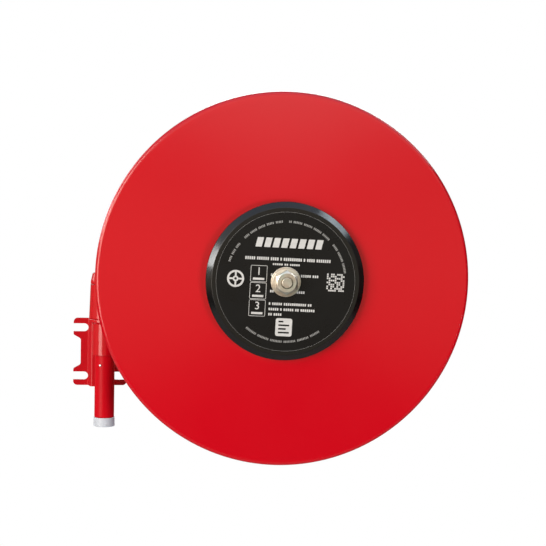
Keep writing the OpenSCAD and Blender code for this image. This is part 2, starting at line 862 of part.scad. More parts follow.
// Carries both discs, turns on the axle and collects the water
module hub_barrel() {
    inner_rear = rear_face_depth + disc_t;
    inner_front = front_face_depth - disc_t;
    seal_half = axle_seal_r + seat_gap;
    bore_room = 0.6;
    chamber_step = 3;
    color("lightgray")
    on_axle() difference() {
        union() {
            rotate_extrude() polygon([
                [0, rear_neck_depth], [neck_r, rear_neck_depth], [neck_r, inner_rear],
                [barrel_flange_r, inner_rear], [barrel_flange_r, inner_rear + barrel_flange_t],
                [barrel_r, inner_rear + barrel_flange_t],
                [barrel_r, inner_front - barrel_flange_t],
                [barrel_flange_r, inner_front - barrel_flange_t],
                [barrel_flange_r, inner_front], [neck_r, inner_front],
                [neck_r, front_neck_depth], [0, front_neck_depth]
            ]);
            translate([0, 0, mid_depth]) rotate([-90, 0, 0])
                cylinder(r = outlet_r, h = outlet_start);
        }
        translate([0, 0, rear_neck_depth - cut])
            cylinder(r = axle_r + bore_room, h = front_neck_depth - rear_neck_depth + 2 * cut);
        translate([0, 0, rear_neck_depth - cut])
            cylinder(r = barrel_bore_r, h = axle_bush_len + cut);
        translate([0, 0, front_neck_depth - axle_bush_len])
            cylinder(r = barrel_bore_r, h = axle_bush_len + cut);
        translate([0, 0, mid_depth - chamber_half])
            cylinder(r = barrel_bore_r + chamber_step, h = 2 * chamber_half);
        for (side = [-1, 1])
            translate([0, 0, mid_depth + side * axle_seal_offset - seal_half])
                cylinder(r = axle_r + 2 * axle_seal_r + seat_gap, h = 2 * seal_half);
        translate([0, 0, mid_depth]) rotate([-90, 0, 0])
            cylinder(d = water_bore, h = outlet_start + cut);
        around(hub_bolt_count, hub_bolt_r) translate([0, 0, rear_neck_depth])
            cylinder(d = hub_bolt_d + 2 * seat_gap, h = front_neck_depth, $fn = 32);
    }
}

// Screwed from outside through each disc into the barrel flange
module hub_bolts() {
    head_h = 3.6;
    flats = 10;
    color("silver")
    on_axle() around(hub_bolt_count, hub_bolt_r)
        for (place = [[rear_face_depth, 0], [front_face_depth, 1]])
            translate([0, 0, place[0]]) mirror([0, 0, place[1]]) {
                mirror([0, 0, 1]) hex_bar(flats, head_h);
                translate([0, 0, -head_h / 2])
                    cylinder(d = hub_bolt_d, h = head_h / 2 + disc_t + barrel_flange_t, $fn = 32);
            }
}

module rear_axle_bush() {
    color("goldenrod")
    on_axle() translate([0, 0, rear_neck_depth])
        tube(barrel_bore_r, axle_r + fit_gap, axle_bush_len);
}

module front_axle_bush() {
    color("goldenrod")
    on_axle() translate([0, 0, front_neck_depth - axle_bush_len])
        tube(barrel_bore_r, axle_r + fit_gap, axle_bush_len);
}

module axle_seals() {
    color("black")
    on_axle() for (side = [-1, 1])
        translate([0, 0, mid_depth + side * axle_seal_offset])
            ring_seal(axle_r + axle_seal_r + fit_gap, axle_seal_r);
}

// Turns the water from the barrel towards the inner end of the hose
module outlet_elbow() {
    color("darkgoldenrod")
    on_axle() translate([0, 0, mid_depth]) difference() {
        union() {
            translate([0, outlet_start, 0]) rotate([-90, 0, 0])
                cylinder(r = outlet_r, h = outlet_offset - outlet_start);
            translate([0, outlet_offset, 0]) sphere(r = outlet_r);
            translate([0, outlet_offset, 0]) rotate([0, 90, 0])
                cylinder(r = outlet_r, h = outlet_reach);
        }
        translate([0, outlet_start - cut, 0]) rotate([-90, 0, 0])
            cylinder(d = water_bore, h = outlet_offset - outlet_start + cut);
        translate([0, outlet_offset, 0]) rotate([0, 90, 0])
            cylinder(d = port_bore, h = outlet_reach + cut);
        translate([0, outlet_offset, 0]) sphere(d = water_bore);
    }
}

// Barbed tail that the hose is pushed onto
module hose_tail() {
    root_r = tail_r - 1;
    tail_bore_r = tail_r - 3;
    first_barb = tail_shoulder + 4;
    barb_rise = 2;
    barb_fall = 6;
    color("goldenrod")
    on_axle() translate([outlet_reach, outlet_offset, mid_depth]) rotate([0, 90, 0]) difference() {
        rotate_extrude() polygon([
            [0, 0], [outlet_r, 0], [outlet_r, tail_shoulder], [root_r, tail_shoulder],
            for (i = [0 : barb_count - 1])
                let(start = first_barb + i * (barb_rise + barb_fall))
                each [[root_r, start], [tail_r, start + barb_rise], [root_r, start + barb_rise + barb_fall]],
            [root_r, tail_len], [0, tail_len]
        ]);
        translate([0, 0, -cut]) cylinder(r = tail_bore_r, h = tail_len + 2 * cut);
    }
}

module hose_clamp() {
    width = 11;
    band_t = 1.4;
    screw_w = 12;
    screw_h = 7;
    start = hose_stub_x + 8;
    color("silver")
    on_axle() translate([start, outlet_offset, mid_depth]) rotate([0, 90, 0]) difference() {
        union() {
            cylinder(r = hose_r + band_t, h = width);
            translate([-screw_w / 2, -hose_r - screw_h, 0]) cube([screw_w, screw_h, width]);
        }
        translate([0, 0, -cut]) cylinder(r = hose_r + seat_gap, h = width + 2 * cut);
    }
}

// ---- Hub cover ----------------------------------------------------------

// Half section of the cover's outside, or of its hollow where there is an inset
module cover_section(inset) {
    outer = cover_d / 2;
    slope = atan2(cover_bevel, cover_h - cover_side);
    foot = inset > 0 ? -cut : 0;
    polygon([
        [0, foot], [outer - inset, foot],
        [outer - inset, cover_side - inset * tan(slope / 2)],
        [outer - cover_bevel - inset * tan(45 - slope / 2), cover_h - inset],
        [0, cover_h - inset]
    ]);
}

module hub_cover() {
    post_r = 5;
    color("black")
    on_axle() translate([0, 0, front_face_depth]) difference() {
        union() {
            rotate_extrude() difference() {
                cover_section(0);
                cover_section(cover_wall);
            }
            around(cover_screw_count, cover_screw_r, cover_screw_turn)
                cylinder(r = post_r, h = cover_h - cover_wall / 2, $fn = 32);
        }
        cylinder(r = neck_r + run_gap, h = cover_h + cut);
        around(cover_screw_count, cover_screw_r, cover_screw_turn) translate([0, 0, -cut])
            cylinder(r = cover_screw_shank_r + seat_gap, h = cover_screw_bite + 3 * cut, $fn = 32);
    }
}

// Driven from inside the drum, through the disc into the cover's posts
module cover_screws() {
    head_r = 4;
    crown_r = 2.8;
    head_h = 2.4;
    color("silver")
    on_axle() around(cover_screw_count, cover_screw_r, cover_screw_turn)
        translate([0, 0, front_face_depth - disc_t]) {
            translate([0, 0, -head_h]) cylinder(r1 = crown_r, r2 = head_r, h = head_h, $fn = 32);
            translate([0, 0, -head_h / 2])
                cylinder(r = cover_screw_shank_r, h = head_h / 2 + disc_t + cover_screw_bite, $fn = 32);
        }
}

module label_plate() {
    color("dimgray")
    on_axle() translate([0, 0, cover_face_depth])
        tube(label_d / 2, neck_r + run_gap, label_t);
}

// ---- Hose ---------------------------------------------------------------

function smooth(u) = let(v = min(1, max(0, u))) v * v * (3 - 2 * v);
function unit(v) = v / norm(v);

// Middle line of the outer layer, as [x, y, depth] around the axle
start_point = [each wrap_r * along(start_angle), first_wrap_depth];
start_heading = [sin(start_angle), -cos(start_angle), 0];
start_run = [start_point + run_gap * start_heading, start_point + hose_d * start_heading];
ring_count = floor(turns * rings_per_turn) - 1;
wrap_run = [
    for (i = [ring_count : -1 : 0])
        let(angle = lift_angle + i * 360 / rings_per_turn)
        [each wrap_r * along(angle),
         last_wrap_depth - (angle - lift_angle) / 360 * (hose_d + turn_gap)]
];

// The last stretch lifts off the layer and straightens along the nozzle's line
lift_from = wrap_r * along(lift_angle);
lift_to = [line_start_x, nozzle_line];
lift_pull = 0.38 * norm(lift_to - lift_from);
lift_near = lift_from + lift_pull * [sin(lift_angle), -cos(lift_angle)];
lift_far = lift_to - [lift_pull, 0];
lift_steps = 9;
lift_run = [
    for (i = [1 : lift_steps])
        let(t = i / lift_steps, s = 1 - t)
        [each s * s * s * lift_from + 3 * s * s * t * lift_near
              + 3 * s * t * t * lift_far + t * t * t * lift_to,
         last_wrap_depth + (nozzle_depth - last_wrap_depth) * smooth((t - 0.3) / 0.7)]
];
hose_line = concat(start_run, wrap_run, lift_run, [[hose_end_x, nozzle_line, nozzle_depth]]);

// Least distance between stretches of the line that are not neighbours
function least_gap(line, apart) = min([
    for (i = [0 : len(line) - 1 - apart])
        for (j = [i + apart : len(line) - 1]) norm(line[i] - line[j])
]) - hose_d;
echo(least_gap_of_the_winding_to_itself = least_gap(hose_line, 6));

function heading(line, i) =
    i == 0 ? unit(line[1] - line[0])
    : i == len(line) - 1 ? unit(line[i] - line[i - 1])
    : unit(unit(line[i + 1] - line[i]) + unit(line[i] - line[i - 1]));

function tube_ring(line, i) =
    let(ahead = heading(line, i), outwards = [line[i][0], line[i][1], 0],
        first = unit(outwards - (outwards * ahead) * ahead), second = cross(ahead, first))
    [for (k = [0 : tube_sides - 1])
        line[i] + hose_r * (cos(k * 360 / tube_sides) * first + sin(k * 360 / tube_sides) * second)];

module swept_tube(line) {
    rings = len(line);
    points = [for (i = [0 : rings - 1]) each tube_ring(line, i)];
    last = (rings - 1) * tube_sides;
    sides = [
        for (i = [0 : rings - 2]) for (k = [0 : tube_sides - 1])
            let(a = i * tube_sides + k, b = i * tube_sides + (k + 1) % tube_sides)
            each [[a, a + tube_sides, b], [b, a + tube_sides, b + tube_sides]]
    ];
    ends = [
        for (k = [1 : tube_sides - 2])
            each [[0, k, k + 1], [last, last + k + 1, last + k]]
    ];
    polyhedron(points, concat(sides, ends));
}

module hose_winding() {
    color("dimgray")
    on_axle() swept_tube(hose_line);
}

// Inner layers of the hose as one ring, the stretch that climbs to the outer
// layer, and the inner end of the hose that is pushed onto the tail
module hose_core() {
    end_gap = side_gap + 1;
    inner_r = core_r + run_gap;
    rear = [for (r = [inner_r, disc_flat_r, hose_core_r]) [r, inner_face(r) + end_gap]];
    front = [for (p = rear) [p[0], 2 * mid_depth - p[1]]];
    tail_room = outlet_reach + tail_len + cut - hose_stub_x;
    color("darkslategray")
    on_axle() difference() {
        union() {
            rotate_extrude() polygon([rear[0], rear[1], rear[2], front[2], front[1], front[0]]);
            translate([(wrap_r - ramp_r) * cos(start_angle), (wrap_r - ramp_r) * sin(start_angle),
                       first_wrap_depth])
                rotate(start_angle) rotate_extrude(angle = ramp_sweep)
                    translate([ramp_r, 0]) circle(r = hose_r);
            translate([hose_stub_x, outlet_offset, mid_depth]) rotate([0, 90, 0])
                cylinder(r = hose_r, h = core_r - hose_stub_x);
        }
        translate([hose_stub_x - cut, outlet_offset, mid_depth]) rotate([0, 90, 0])
            cylinder(r = tail_r + seat_gap, h = tail_room + cut);
    }
}

// ---- Nozzle -------------------------------------------------------------

// Local z runs along the nozzle, with its zero over the axle
module along_nozzle() {
    on_axle() translate([0, nozzle_line, nozzle_depth]) rotate([0, 90, 0]) children();
}

// Swaged over the end of the hose, with a plain collar towards the body
module nozzle_ferrule() {
    swage_t = 1.5;
    swage_r = hose_r + swage_t;
    collar_len = 5;
    collar_slope = 2;
    collar_start = ferrule_len - collar_len;
    swage_end = collar_start - collar_slope;
    edge = 0.8;
    color("goldenrod")
    along_nozzle() translate([0, 0, nozzle_start_x]) difference() {
        rotate_extrude() polygon([
            [0, 0], [swage_r - edge, 0], [swage_r, edge], [swage_r, swage_end],
            [hose_r, collar_start], [hose_r, ferrule_len], [0, ferrule_len]
        ]);
        translate([0, 0, -cut]) cylinder(r = nozzle_way_r, h = ferrule_len + 2 * cut);
    }
}

module nozzle_body() {
    flats = hose_d * 0.95;
    hex_len = neck_len * 0.55;
    color("black")
    along_nozzle() translate([0, 0, body_start_x]) difference() {
        union() {
            hex_bar(flats, hex_len);
            translate([0, 0, hex_len - cut]) cylinder(r = hose_r, h = neck_len - hex_len + cut);
            cylinder(r = nozzle_spigot_r, h = spigot_end_x - body_start_x);
        }
        translate([0, 0, -cut])
            cylinder(r = nozzle_way_r, h = spigot_end_x - body_start_x + 2 * cut);
    }
}

// Turns on the body to open and to change the jet
module nozzle_barrel() {
    groove_count = 10;
    groove_r = 2.4;
    groove_depth = 1.2;
    edge = 1;
    waist_r = nozzle_r - 3;
    waist_len = 6;
    waist_slope = 8;
    lip_r = nozzle_r - 1;
    lip_slope = 2;
    lip_len = 6;
    plain_start = 6;
    plain_end = 4;
    lip_start = nozzle_end_x - lip_len;
    waist_end = lip_start - lip_slope;
    waist_start = waist_end - waist_len;
    grip_end = waist_start - waist_slope;
    groove_start = barrel_start_x + plain_start;
    color("crimson")
    along_nozzle() difference() {
        rotate_extrude() polygon([
            [0, barrel_start_x], [nozzle_r - edge, barrel_start_x], [nozzle_r, barrel_start_x + edge],
            [nozzle_r, grip_end], [waist_r, waist_start], [waist_r, waist_end],
            [lip_r, lip_start], [lip_r, nozzle_end_x], [0, nozzle_end_x]
        ]);
        translate([0, 0, barrel_start_x - cut])
            cylinder(r = nozzle_spigot_r + fit_gap, h = spigot_end_x + run_gap - barrel_start_x + cut);
        translate([0, 0, spigot_end_x]) cylinder(d = nozzle_bore, h = nozzle_len);
        around(groove_count, nozzle_r + groove_r - groove_depth) translate([0, 0, groove_start])
            cylinder(r = groove_r, h = grip_end - plain_end - groove_start, $fn = 24);
    }
}

// ---- Nodes --------------------------------------------------------------

wall_bracket();
pivot_sleeve();
inlet_pipe();
thrust_collar();
pivot_circlip();
drain_screw();
inlet_cap();
swivel_housing();
housing_cap();
lower_pivot_bush();
upper_pivot_bush();
pivot_seal();
arm_channel();
water_pipe();
union_nuts();
axle_elbow();
flange_bolts();
axle();
front_washer();
front_nut();
rear_disc();
front_disc();
core_drum();
core_rivets();
hub_barrel();
hub_bolts();
rear_axle_bush();
front_axle_bush();
axle_seals();
outlet_elbow();
hose_tail();
hose_clamp();
hub_cover();
cover_screws();
label_plate();
hose_core();
hose_winding();
nozzle_ferrule();
nozzle_body();
nozzle_barrel();
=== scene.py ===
"""Swinging fire hose reel: the finish of every piece, and the studio it stands in.

The construction comes from the frame. Each sub-assembly below models the pieces that
show, at the places that the frame gives, and dresses them. Sizes are in millimetres
and meshes in metres. The wall is the plane Y = 0 and a depth is a distance from it.
"""

import json
import logging
import math
from dataclasses import dataclass, field
from enum import Enum
from typing import Any, Callable, Iterable, Sequence

import bpy
from mathutils import Matrix, Vector


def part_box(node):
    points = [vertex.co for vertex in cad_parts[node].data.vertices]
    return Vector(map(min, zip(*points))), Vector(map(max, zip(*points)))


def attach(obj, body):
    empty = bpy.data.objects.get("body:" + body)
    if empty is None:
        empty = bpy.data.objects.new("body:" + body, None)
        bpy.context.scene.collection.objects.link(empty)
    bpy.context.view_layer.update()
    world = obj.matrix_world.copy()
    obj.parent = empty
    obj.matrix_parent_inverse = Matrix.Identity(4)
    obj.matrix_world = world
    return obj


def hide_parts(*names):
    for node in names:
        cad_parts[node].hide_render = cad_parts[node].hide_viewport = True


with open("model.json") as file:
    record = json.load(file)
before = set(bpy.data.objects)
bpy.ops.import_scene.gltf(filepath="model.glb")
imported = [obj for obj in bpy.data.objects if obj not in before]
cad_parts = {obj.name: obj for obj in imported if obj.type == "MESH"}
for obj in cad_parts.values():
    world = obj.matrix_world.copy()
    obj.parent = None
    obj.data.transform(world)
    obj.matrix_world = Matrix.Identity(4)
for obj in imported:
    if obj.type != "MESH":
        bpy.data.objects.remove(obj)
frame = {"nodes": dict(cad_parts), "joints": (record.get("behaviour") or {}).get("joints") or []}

LOG = logging.getLogger("hose_reel")
MM = 0.001
FULL_TURN = 2 * math.pi
SAME_PLACE = 1e-6
NEARLY = 0.1
CUT = 1.0

Point = tuple[float, float]
Corner = tuple[float, float, float]
Colour = tuple[float, float, float]
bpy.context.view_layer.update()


class Body(str, Enum):
    """The bodies that pieces ride on."""

    BRACKET = "bracket_frame"
    ARM = "swing_arm"
    DRUM = "drum"
    TWIST = "nozzle_twist"
    PLUG = "inlet_plug"


class Slot(str, Enum):
    """The material slots that finishes belong to."""

    RED_PAINT = "red_paint"
    BLACK_PLASTIC = "black_plastic"
    LABEL_FACE = "label_face"
    WHITE_PLASTIC = "white_plastic"
    YELLOW_ZINC = "yellow_zinc"
    BRIGHT_ZINC = "bright_zinc"
    SPRING_STEEL = "spring_steel"
    BRASS = "brass"
    BUSH_BRONZE = "bush_bronze"
    CAST_ALLOY = "cast_alloy"
    HOSE_RUBBER = "hose_rubber"
    SEAL_RUBBER = "seal_rubber"
    NOZZLE_BLACK = "nozzle_black"
    NOZZLE_RED = "nozzle_red"


# ---- Finishes ---------------------------------------------------------------


class Nodes:
    """A node tree, with short ways to add what the materials and the sky share."""

    def __init__(self, tree: bpy.types.NodeTree) -> None:
        """Takes the tree that nodes are added to."""
        self.tree = tree

    def add(self, kind: str, **settings: Any) -> bpy.types.Node:
        """Adds a node.

        Args:
            kind: the node's type.
            settings: its properties.

        Returns:
            The node.
        """
        node = self.tree.nodes.new(kind)
        for key, value in settings.items():
            setattr(node, key, value)
        return node

    def link(self, output: bpy.types.NodeSocket, target: bpy.types.NodeSocket) -> None:
        """Joins two sockets."""
        self.tree.links.new(output, target)

    def ramp(
        self, factor: bpy.types.NodeSocket, stops: Sequence[tuple[float, Colour]]
    ) -> bpy.types.NodeSocket:
        """Turns a pattern into colours.

        Args:
            factor: the pattern.
            stops: positions from 0 to 1, with their colours.

        Returns:
            The colour.
        """
        node = self.add("ShaderNodeValToRGB")
        band = node.color_ramp
        while len(band.elements) < len(stops):
            band.elements.new(0.5)
        for element, (position, colour) in zip(band.elements, stops):
            element.position = position
            element.color = (*colour, 1.0)
        self.link(factor, node.inputs["Fac"])
        return node.outputs["Color"]

    def remap(
        self, factor: bpy.types.NodeSocket, given: Point, wanted: Point, **settings: Any
    ) -> bpy.types.NodeSocket:
        """Maps one range of values to another.

        Args:
            factor: the value.
            given: where its range starts and ends.
            wanted: the result at the start and at the end.
            settings: the node's properties.

        Returns:
            The mapped value.
        """
        node = self.add("ShaderNodeMapRange", **settings)
        for name, value in zip(("From Min", "From Max", "To Min", "To Max"), (*given, *wanted)):
            node.inputs[name].default_value = value
        self.link(factor, node.inputs["Value"])
        return node.outputs["Result"]


class NodeSheet(Nodes):
    """A material's node tree, with short ways to add what the finishes share."""

    def __init__(self, name: str) -> None:
        """Starts a material with its shader and object coordinates.

        Args:
            name: the material's name.
        """
        self.material = bpy.data.materials.new(name)
        self.material.use_nodes = True
        super().__init__(self.material.node_tree)
        self.shader = self.tree.nodes["Principled BSDF"]
        self.place = self.add("ShaderNodeTexCoord").outputs["Object"]

    def set(self, **values: Any) -> None:
        """Sets the shader's own sockets, with underscores for the spaces in their names."""
        for key, value in values.items():
            self.shader.inputs[key.replace("_", " ")].default_value = value

    def stretched(self, stretch: Sequence[float]) -> bpy.types.NodeSocket:
        """Gives the object coordinates, scaled along each axis.

        Args:
            stretch: the three scales.

        Returns:
            The scaled coordinates.
        """
        mapping = self.add("ShaderNodeMapping")
        mapping.inputs["Scale"].default_value = stretch
        self.link(self.place, mapping.inputs["Vector"])
        return mapping.outputs["Vector"]

    def noise(
        self,
        per_metre: float,
        detail: float = 2.0,
        at: bpy.types.NodeSocket | None = None,
    ) -> bpy.types.NodeSocket:
        """Adds a noise pattern.

        Args:
            per_metre: how many of its lumps fit in a metre.
            detail: octaves of finer noise.
            at: the coordinates, or the object's own.

        Returns:
            The pattern, about 0.5 on average.
        """
        node = self.add("ShaderNodeTexNoise")
        node.inputs["Scale"].default_value = per_metre
        node.inputs["Detail"].default_value = detail
        self.link(at or self.place, node.inputs["Vector"])
        return node.outputs["Fac"]

    def tint(self, factor: bpy.types.NodeSocket, stops: Sequence[tuple[float, Colour]]) -> None:
        """Colours the shader by a pattern."""
        self.link(self.ramp(factor, stops), self.shader.inputs["Base Color"])

    def dull(self, factor: bpy.types.NodeSocket, low: float, high: float) -> None:
        """Varies the shader's roughness over a noise pattern's usual spread."""
        self.link(self.remap(factor, (0.3, 0.7), (low, high)), self.shader.inputs["Roughness"])

    def relief(self, *layers: tuple[bpy.types.NodeSocket, float]) -> None:
        """Adds bumps to the shader.

        Args:
            layers: each pattern with its depth in millimetres.
        """
        normal = None
        for height, depth in layers:
            node = self.add("ShaderNodeBump")
            node.inputs["Distance"].default_value = depth * MM
            self.link(height, node.inputs["Height"])
            if normal is not None:
                self.link(normal, node.inputs["Normal"])
            normal = node.outputs["Normal"]
        self.link(normal, self.shader.inputs["Normal"])


@dataclass(frozen=True)
class Paint:
    """Powder coat: an even colour with a fine orange peel under its gloss."""

    name: str
    light: Colour
    deep: Colour
    roughness: float = 0.17
    peel_per_metre: float = 420.0
    peel_depth: float = 0.010
    shine: float = 0.5

    def make(self) -> bpy.types.Material:
        """Builds the material.

        Returns:
            The material.
        """
        sheet = NodeSheet(self.name)
        sheet.set(Specular_IOR_Level=self.shine)
        sheet.tint(sheet.noise(2.4, 1.0), [(0.2, self.deep), (0.8, self.light)])
        sheet.dull(sheet.noise(14.0, 1.5), self.roughness - 0.012, self.roughness + 0.016)
        sheet.relief(
            (sheet.noise(self.peel_per_metre, 1.0), self.peel_depth),
            (sheet.noise(self.peel_per_metre * 5, 0.0), self.peel_depth / 15),
        )
        return sheet.material


@dataclass(frozen=True)
class Moulded:
    """Moulded plastic: a fine spark-eroded grain and faint flow shades."""

    name: str
    light: Colour
    deep: Colour
    roughness: float
    grain_per_metre: float = 1800.0
    grain_depth: float = 0.02
    flow_per_metre: float = 9.0
    shine: float = 0.5

    def make(self) -> bpy.types.Material:
        """Builds the material.

        Returns:
            The material.
        """
        sheet = NodeSheet(self.name)
        sheet.set(Specular_IOR_Level=self.shine)
        flow = sheet.noise(self.flow_per_metre, 4.0, sheet.stretched((1.0, 1.0, 2.2)))
        sheet.tint(flow, [(0.3, self.deep), (0.7, self.light)])
        sheet.dull(sheet.noise(40.0, 5.0), self.roughness - 0.04, self.roughness + 0.06)
        sheet.relief((sheet.noise(self.grain_per_metre, 2.0), self.grain_depth))
        return sheet.material


@dataclass(frozen=True)
class Metal:
    """Bare or plated metal: cloudy tones, fine scratches and a broken gloss."""

    name: str
    tones: tuple[Colour, Colour, Colour]
    roughness: float
    cloud_per_metre: float = 70.0
    scratch_depth: float = 0.006
    pit_per_metre: float = 1400.0
    pit_depth: float = 0.008
    stretch: tuple[float, float, float] = (1.0, 1.0, 1.0)

    def make(self) -> bpy.types.Material:
        """Builds the material.

        Returns:
            The material.
        """
        sheet = NodeSheet(self.name)
        sheet.set(Metallic=1.0)
        sheet.tint(sheet.noise(self.cloud_per_metre, 5.0), list(zip((0.32, 0.5, 0.68), self.tones)))
        smear = sheet.noise(self.cloud_per_metre * 3, 4.0)
        sheet.dull(smear, self.roughness - 0.07, self.roughness + 0.09)
        marks = sheet.noise(900.0, 3.0, sheet.stretched(self.stretch))
        sheet.relief(
            (marks, self.scratch_depth), (sheet.noise(self.pit_per_metre, 2.0), self.pit_depth)
        )
        return sheet.material


@dataclass(frozen=True)
class Rubber:
    """Rubber cover: matt, with the faint print of the wrapping it was cured in."""

    name: str
    light: Colour
    deep: Colour
    roughness: float
    wraps_per_turn: float = 0.0
    print_depth: float = 0.05

    def make(self) -> bpy.types.Material:
        """Builds the material.

        Returns:
            The material.
        """
        sheet = NodeSheet(self.name)
        bloom = sheet.noise(30.0, 5.0)
        sheet.tint(bloom, [(0.3, self.deep), (0.72, self.light)])
        sheet.dull(bloom, self.roughness - 0.06, self.roughness + 0.08)
        layers = [(sheet.noise(1300.0, 3.0), 0.02)]
        if self.wraps_per_turn:
            sheet_uv = sheet.add("ShaderNodeTexCoord").outputs["UV"]
            weave = sheet.add("ShaderNodeTexWave", wave_type="BANDS", bands_direction="DIAGONAL")
            weave.inputs["Scale"].default_value = self.wraps_per_turn
            weave.inputs["Distortion"].default_value = 0.4
            sheet.link(sheet_uv, weave.inputs["Vector"])
            layers.append((weave.outputs["Fac"], self.print_depth))
        sheet.relief(*layers)
        return sheet.material


class Finishes:
    """Every finish of the reel, made once and handed to the pieces."""

    def __init__(self) -> None:
        """Builds all the materials."""
        zinc_along = (1.0, 6.0, 1.0)
        sand_cast = {"scratch_depth": 0.02, "pit_depth": 0.06}
        printed = {"grain_per_metre": 3000.0, "grain_depth": 0.002, "flow_per_metre": 60.0}
        self.red_paint = Paint("red_paint", (0.645, 0.0026, 0.0118), (0.620, 0.0022, 0.0108)).make()
        self.red_shade = Paint(
            "red_paint_arm", (0.625, 0.0026, 0.0114), (0.585, 0.0022, 0.0102), 0.22
        ).make()
        # The bracket's red is the disc's red paint made darker: painted shade for the lower light on the
        # bracket at the wall. Its gloss is lower too.
        self.bracket_shaded_paint = Paint(
            "red_paint_bracket_shaded", (0.600, 0.0026, 0.0122), (0.575, 0.0022, 0.0112), 0.26, shine=0.25
        ).make()
        self.pipe_paint = Paint(
            "red_paint_pipe", (0.650, 0.0026, 0.0118), (0.625, 0.0022, 0.0108), 0.34, shine=0.12
        ).make()
        self.hub_black = Moulded(
            "hub_black", (0.0046, 0.0048, 0.0054), (0.0038, 0.0040, 0.0046), 0.20,
            grain_per_metre=1500.0, grain_depth=0.0025,
        ).make()
        self.label_film = Moulded(
            "label_film", (0.0056, 0.0056, 0.0060), (0.0046, 0.0046, 0.0050), 0.28,
            grain_per_metre=2600.0, grain_depth=0.002, shine=0.3,
        ).make()
        self.label_ink = Moulded("label_ink", (0.72, 0.72, 0.71), (0.62, 0.62, 0.62), 0.45, **printed).make()
        self.label_fine_ink = Moulded(
            "label_fine_ink", (0.36, 0.36, 0.35), (0.28, 0.28, 0.28), 0.5, **printed
        ).make()
        self.cap_white = Moulded(
            "cap_white", (0.68, 0.74, 0.84), (0.61, 0.66, 0.75), 0.42,
            grain_per_metre=1500.0, grain_depth=0.03,
        ).make()
        self.yellow_zinc = Metal(
            "yellow_zinc", ((0.64, 0.54, 0.44), (0.66, 0.61, 0.52), (0.60, 0.63, 0.55)), 0.40,
            scratch_depth=0.0012, pit_depth=0.0012, stretch=zinc_along,
        ).make()
        self.bright_zinc = Metal(
            "bright_zinc", ((0.60, 0.61, 0.63), (0.70, 0.71, 0.72), (0.78, 0.78, 0.76)), 0.26,
            scratch_depth=0.0015, pit_depth=0.0015, stretch=zinc_along,
        ).make()
        self.spring_steel = Metal(
            "spring_steel", ((0.10, 0.10, 0.11), (0.14, 0.14, 0.15), (0.19, 0.19, 0.19)), 0.42
        ).make()
        self.brass = Metal(
            "turned_brass", ((0.60, 0.40, 0.14), (0.70, 0.50, 0.20), (0.76, 0.57, 0.26)), 0.27,
            stretch=(8.0, 1.0, 1.0),
        ).make()
        self.cast_brass = Metal(
            "cast_brass", ((0.50, 0.33, 0.12), (0.62, 0.43, 0.17), (0.68, 0.50, 0.22)), 0.42,
            cloud_per_metre=40.0, pit_per_metre=700.0, **sand_cast,
        ).make()
        self.bronze = Metal(
            "bush_bronze", ((0.44, 0.27, 0.11), (0.53, 0.34, 0.15), (0.58, 0.40, 0.19)), 0.4
        ).make()
        self.cast_alloy = Metal(
            "cast_alloy", ((0.50, 0.51, 0.52), (0.58, 0.59, 0.60), (0.66, 0.66, 0.66)), 0.45,
            cloud_per_metre=30.0, pit_per_metre=600.0, **sand_cast,
        ).make()
        self.hose_rubber = Rubber(
            "hose_rubber", (0.020, 0.020, 0.021), (0.012, 0.012, 0.013), 0.55, wraps_per_turn=3.0
        ).make()
        self.seal_rubber = Rubber("seal_rubber", (0.014, 0.014, 0.014), (0.009, 0.009, 0.009), 0.45).make()
        self.nozzle_black = Moulded("nozzle_black", (0.013, 0.013, 0.014), (0.009, 0.009, 0.010), 0.40).make()
        self.nozzle_red = Moulded("nozzle_red", (0.56, 0.006, 0.010), (0.48, 0.005, 0.008), 0.36).make()


# ---- Places -----------------------------------------------------------------


@dataclass(frozen=True)
class Axis:
    """A line that pieces are turned about or lie along.

    A place is given by its distance from the line and its height along it.
    """

    origin: Vector
    ahead: Vector
    out: Vector

    @property
    def side(self) -> Vector:
        """The direction a quarter turn on from out."""
        return self.ahead.cross(self.out)

    def direction(self, degrees: float) -> Vector:
        """The outward direction at an angle from out towards side."""
        turn = math.radians(degrees)
        return self.out * math.cos(turn) + self.side * math.sin(turn)

    def at(self, radius: float, height: float, degrees: float = 0.0) -> Vector:
        """A place in millimetres."""
        return self.origin + self.direction(degrees) * radius + self.ahead * height

    def beside(self, radius: float, degrees: float) -> "Axis":
        """A parallel line through a place at that radius and angle."""
        return Axis(self.at(radius, 0.0, degrees), self.ahead, self.direction(degrees))

    def turning(self, degrees: float) -> Matrix:
        """The turn about this line, for meshes in metres."""
        spot = Matrix.Translation(self.origin * MM)
        return spot @ Matrix.Rotation(math.radians(degrees), 4, self.ahead) @ spot.inverted()


def span(node: str, axis: int) -> Point:
    """Lowest and highest coordinate of a CAD node along an axis, in millimetres."""
    low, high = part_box(node)
    return low[axis] / MM, high[axis] / MM


def depths(node: str) -> Point:
    """Least and greatest distance of a CAD node from the wall."""
    low, high = span(node, 1)
    return -high, -low


def heights(node: str) -> Point:
    """Lowest and highest point of a CAD node."""
    return span(node, 2)


def outer_r(node: str) -> float:
    """Half the width of a CAD node, which is the radius of a turned one."""
    left, right = span(node, 0)
    return (right - left) / 2


def joint_place(name: str) -> Vector:
    """The place of a joint, in millimetres."""
    joint = next(j for j in frame["joints"] if j["name"] == name)
    return Vector(joint["pos_m"]) / MM


FORWARD = Vector((0.0, -1.0, 0.0))
RIGHT = Vector((1.0, 0.0, 0.0))
UP = Vector((0.0, 0.0, 1.0))
_drum_place = joint_place("drum_spin")
_pivot_place = joint_place("arm_swing")
AXLE = Axis(Vector((_drum_place.x, 0.0, _drum_place.z)), FORWARD, RIGHT)
PIVOT = Axis(Vector((_pivot_place.x, _pivot_place.y, 0.0)), UP, FORWARD)
PIVOT_DEPTH = -_pivot_place.y


# ---- Outlines ---------------------------------------------------------------


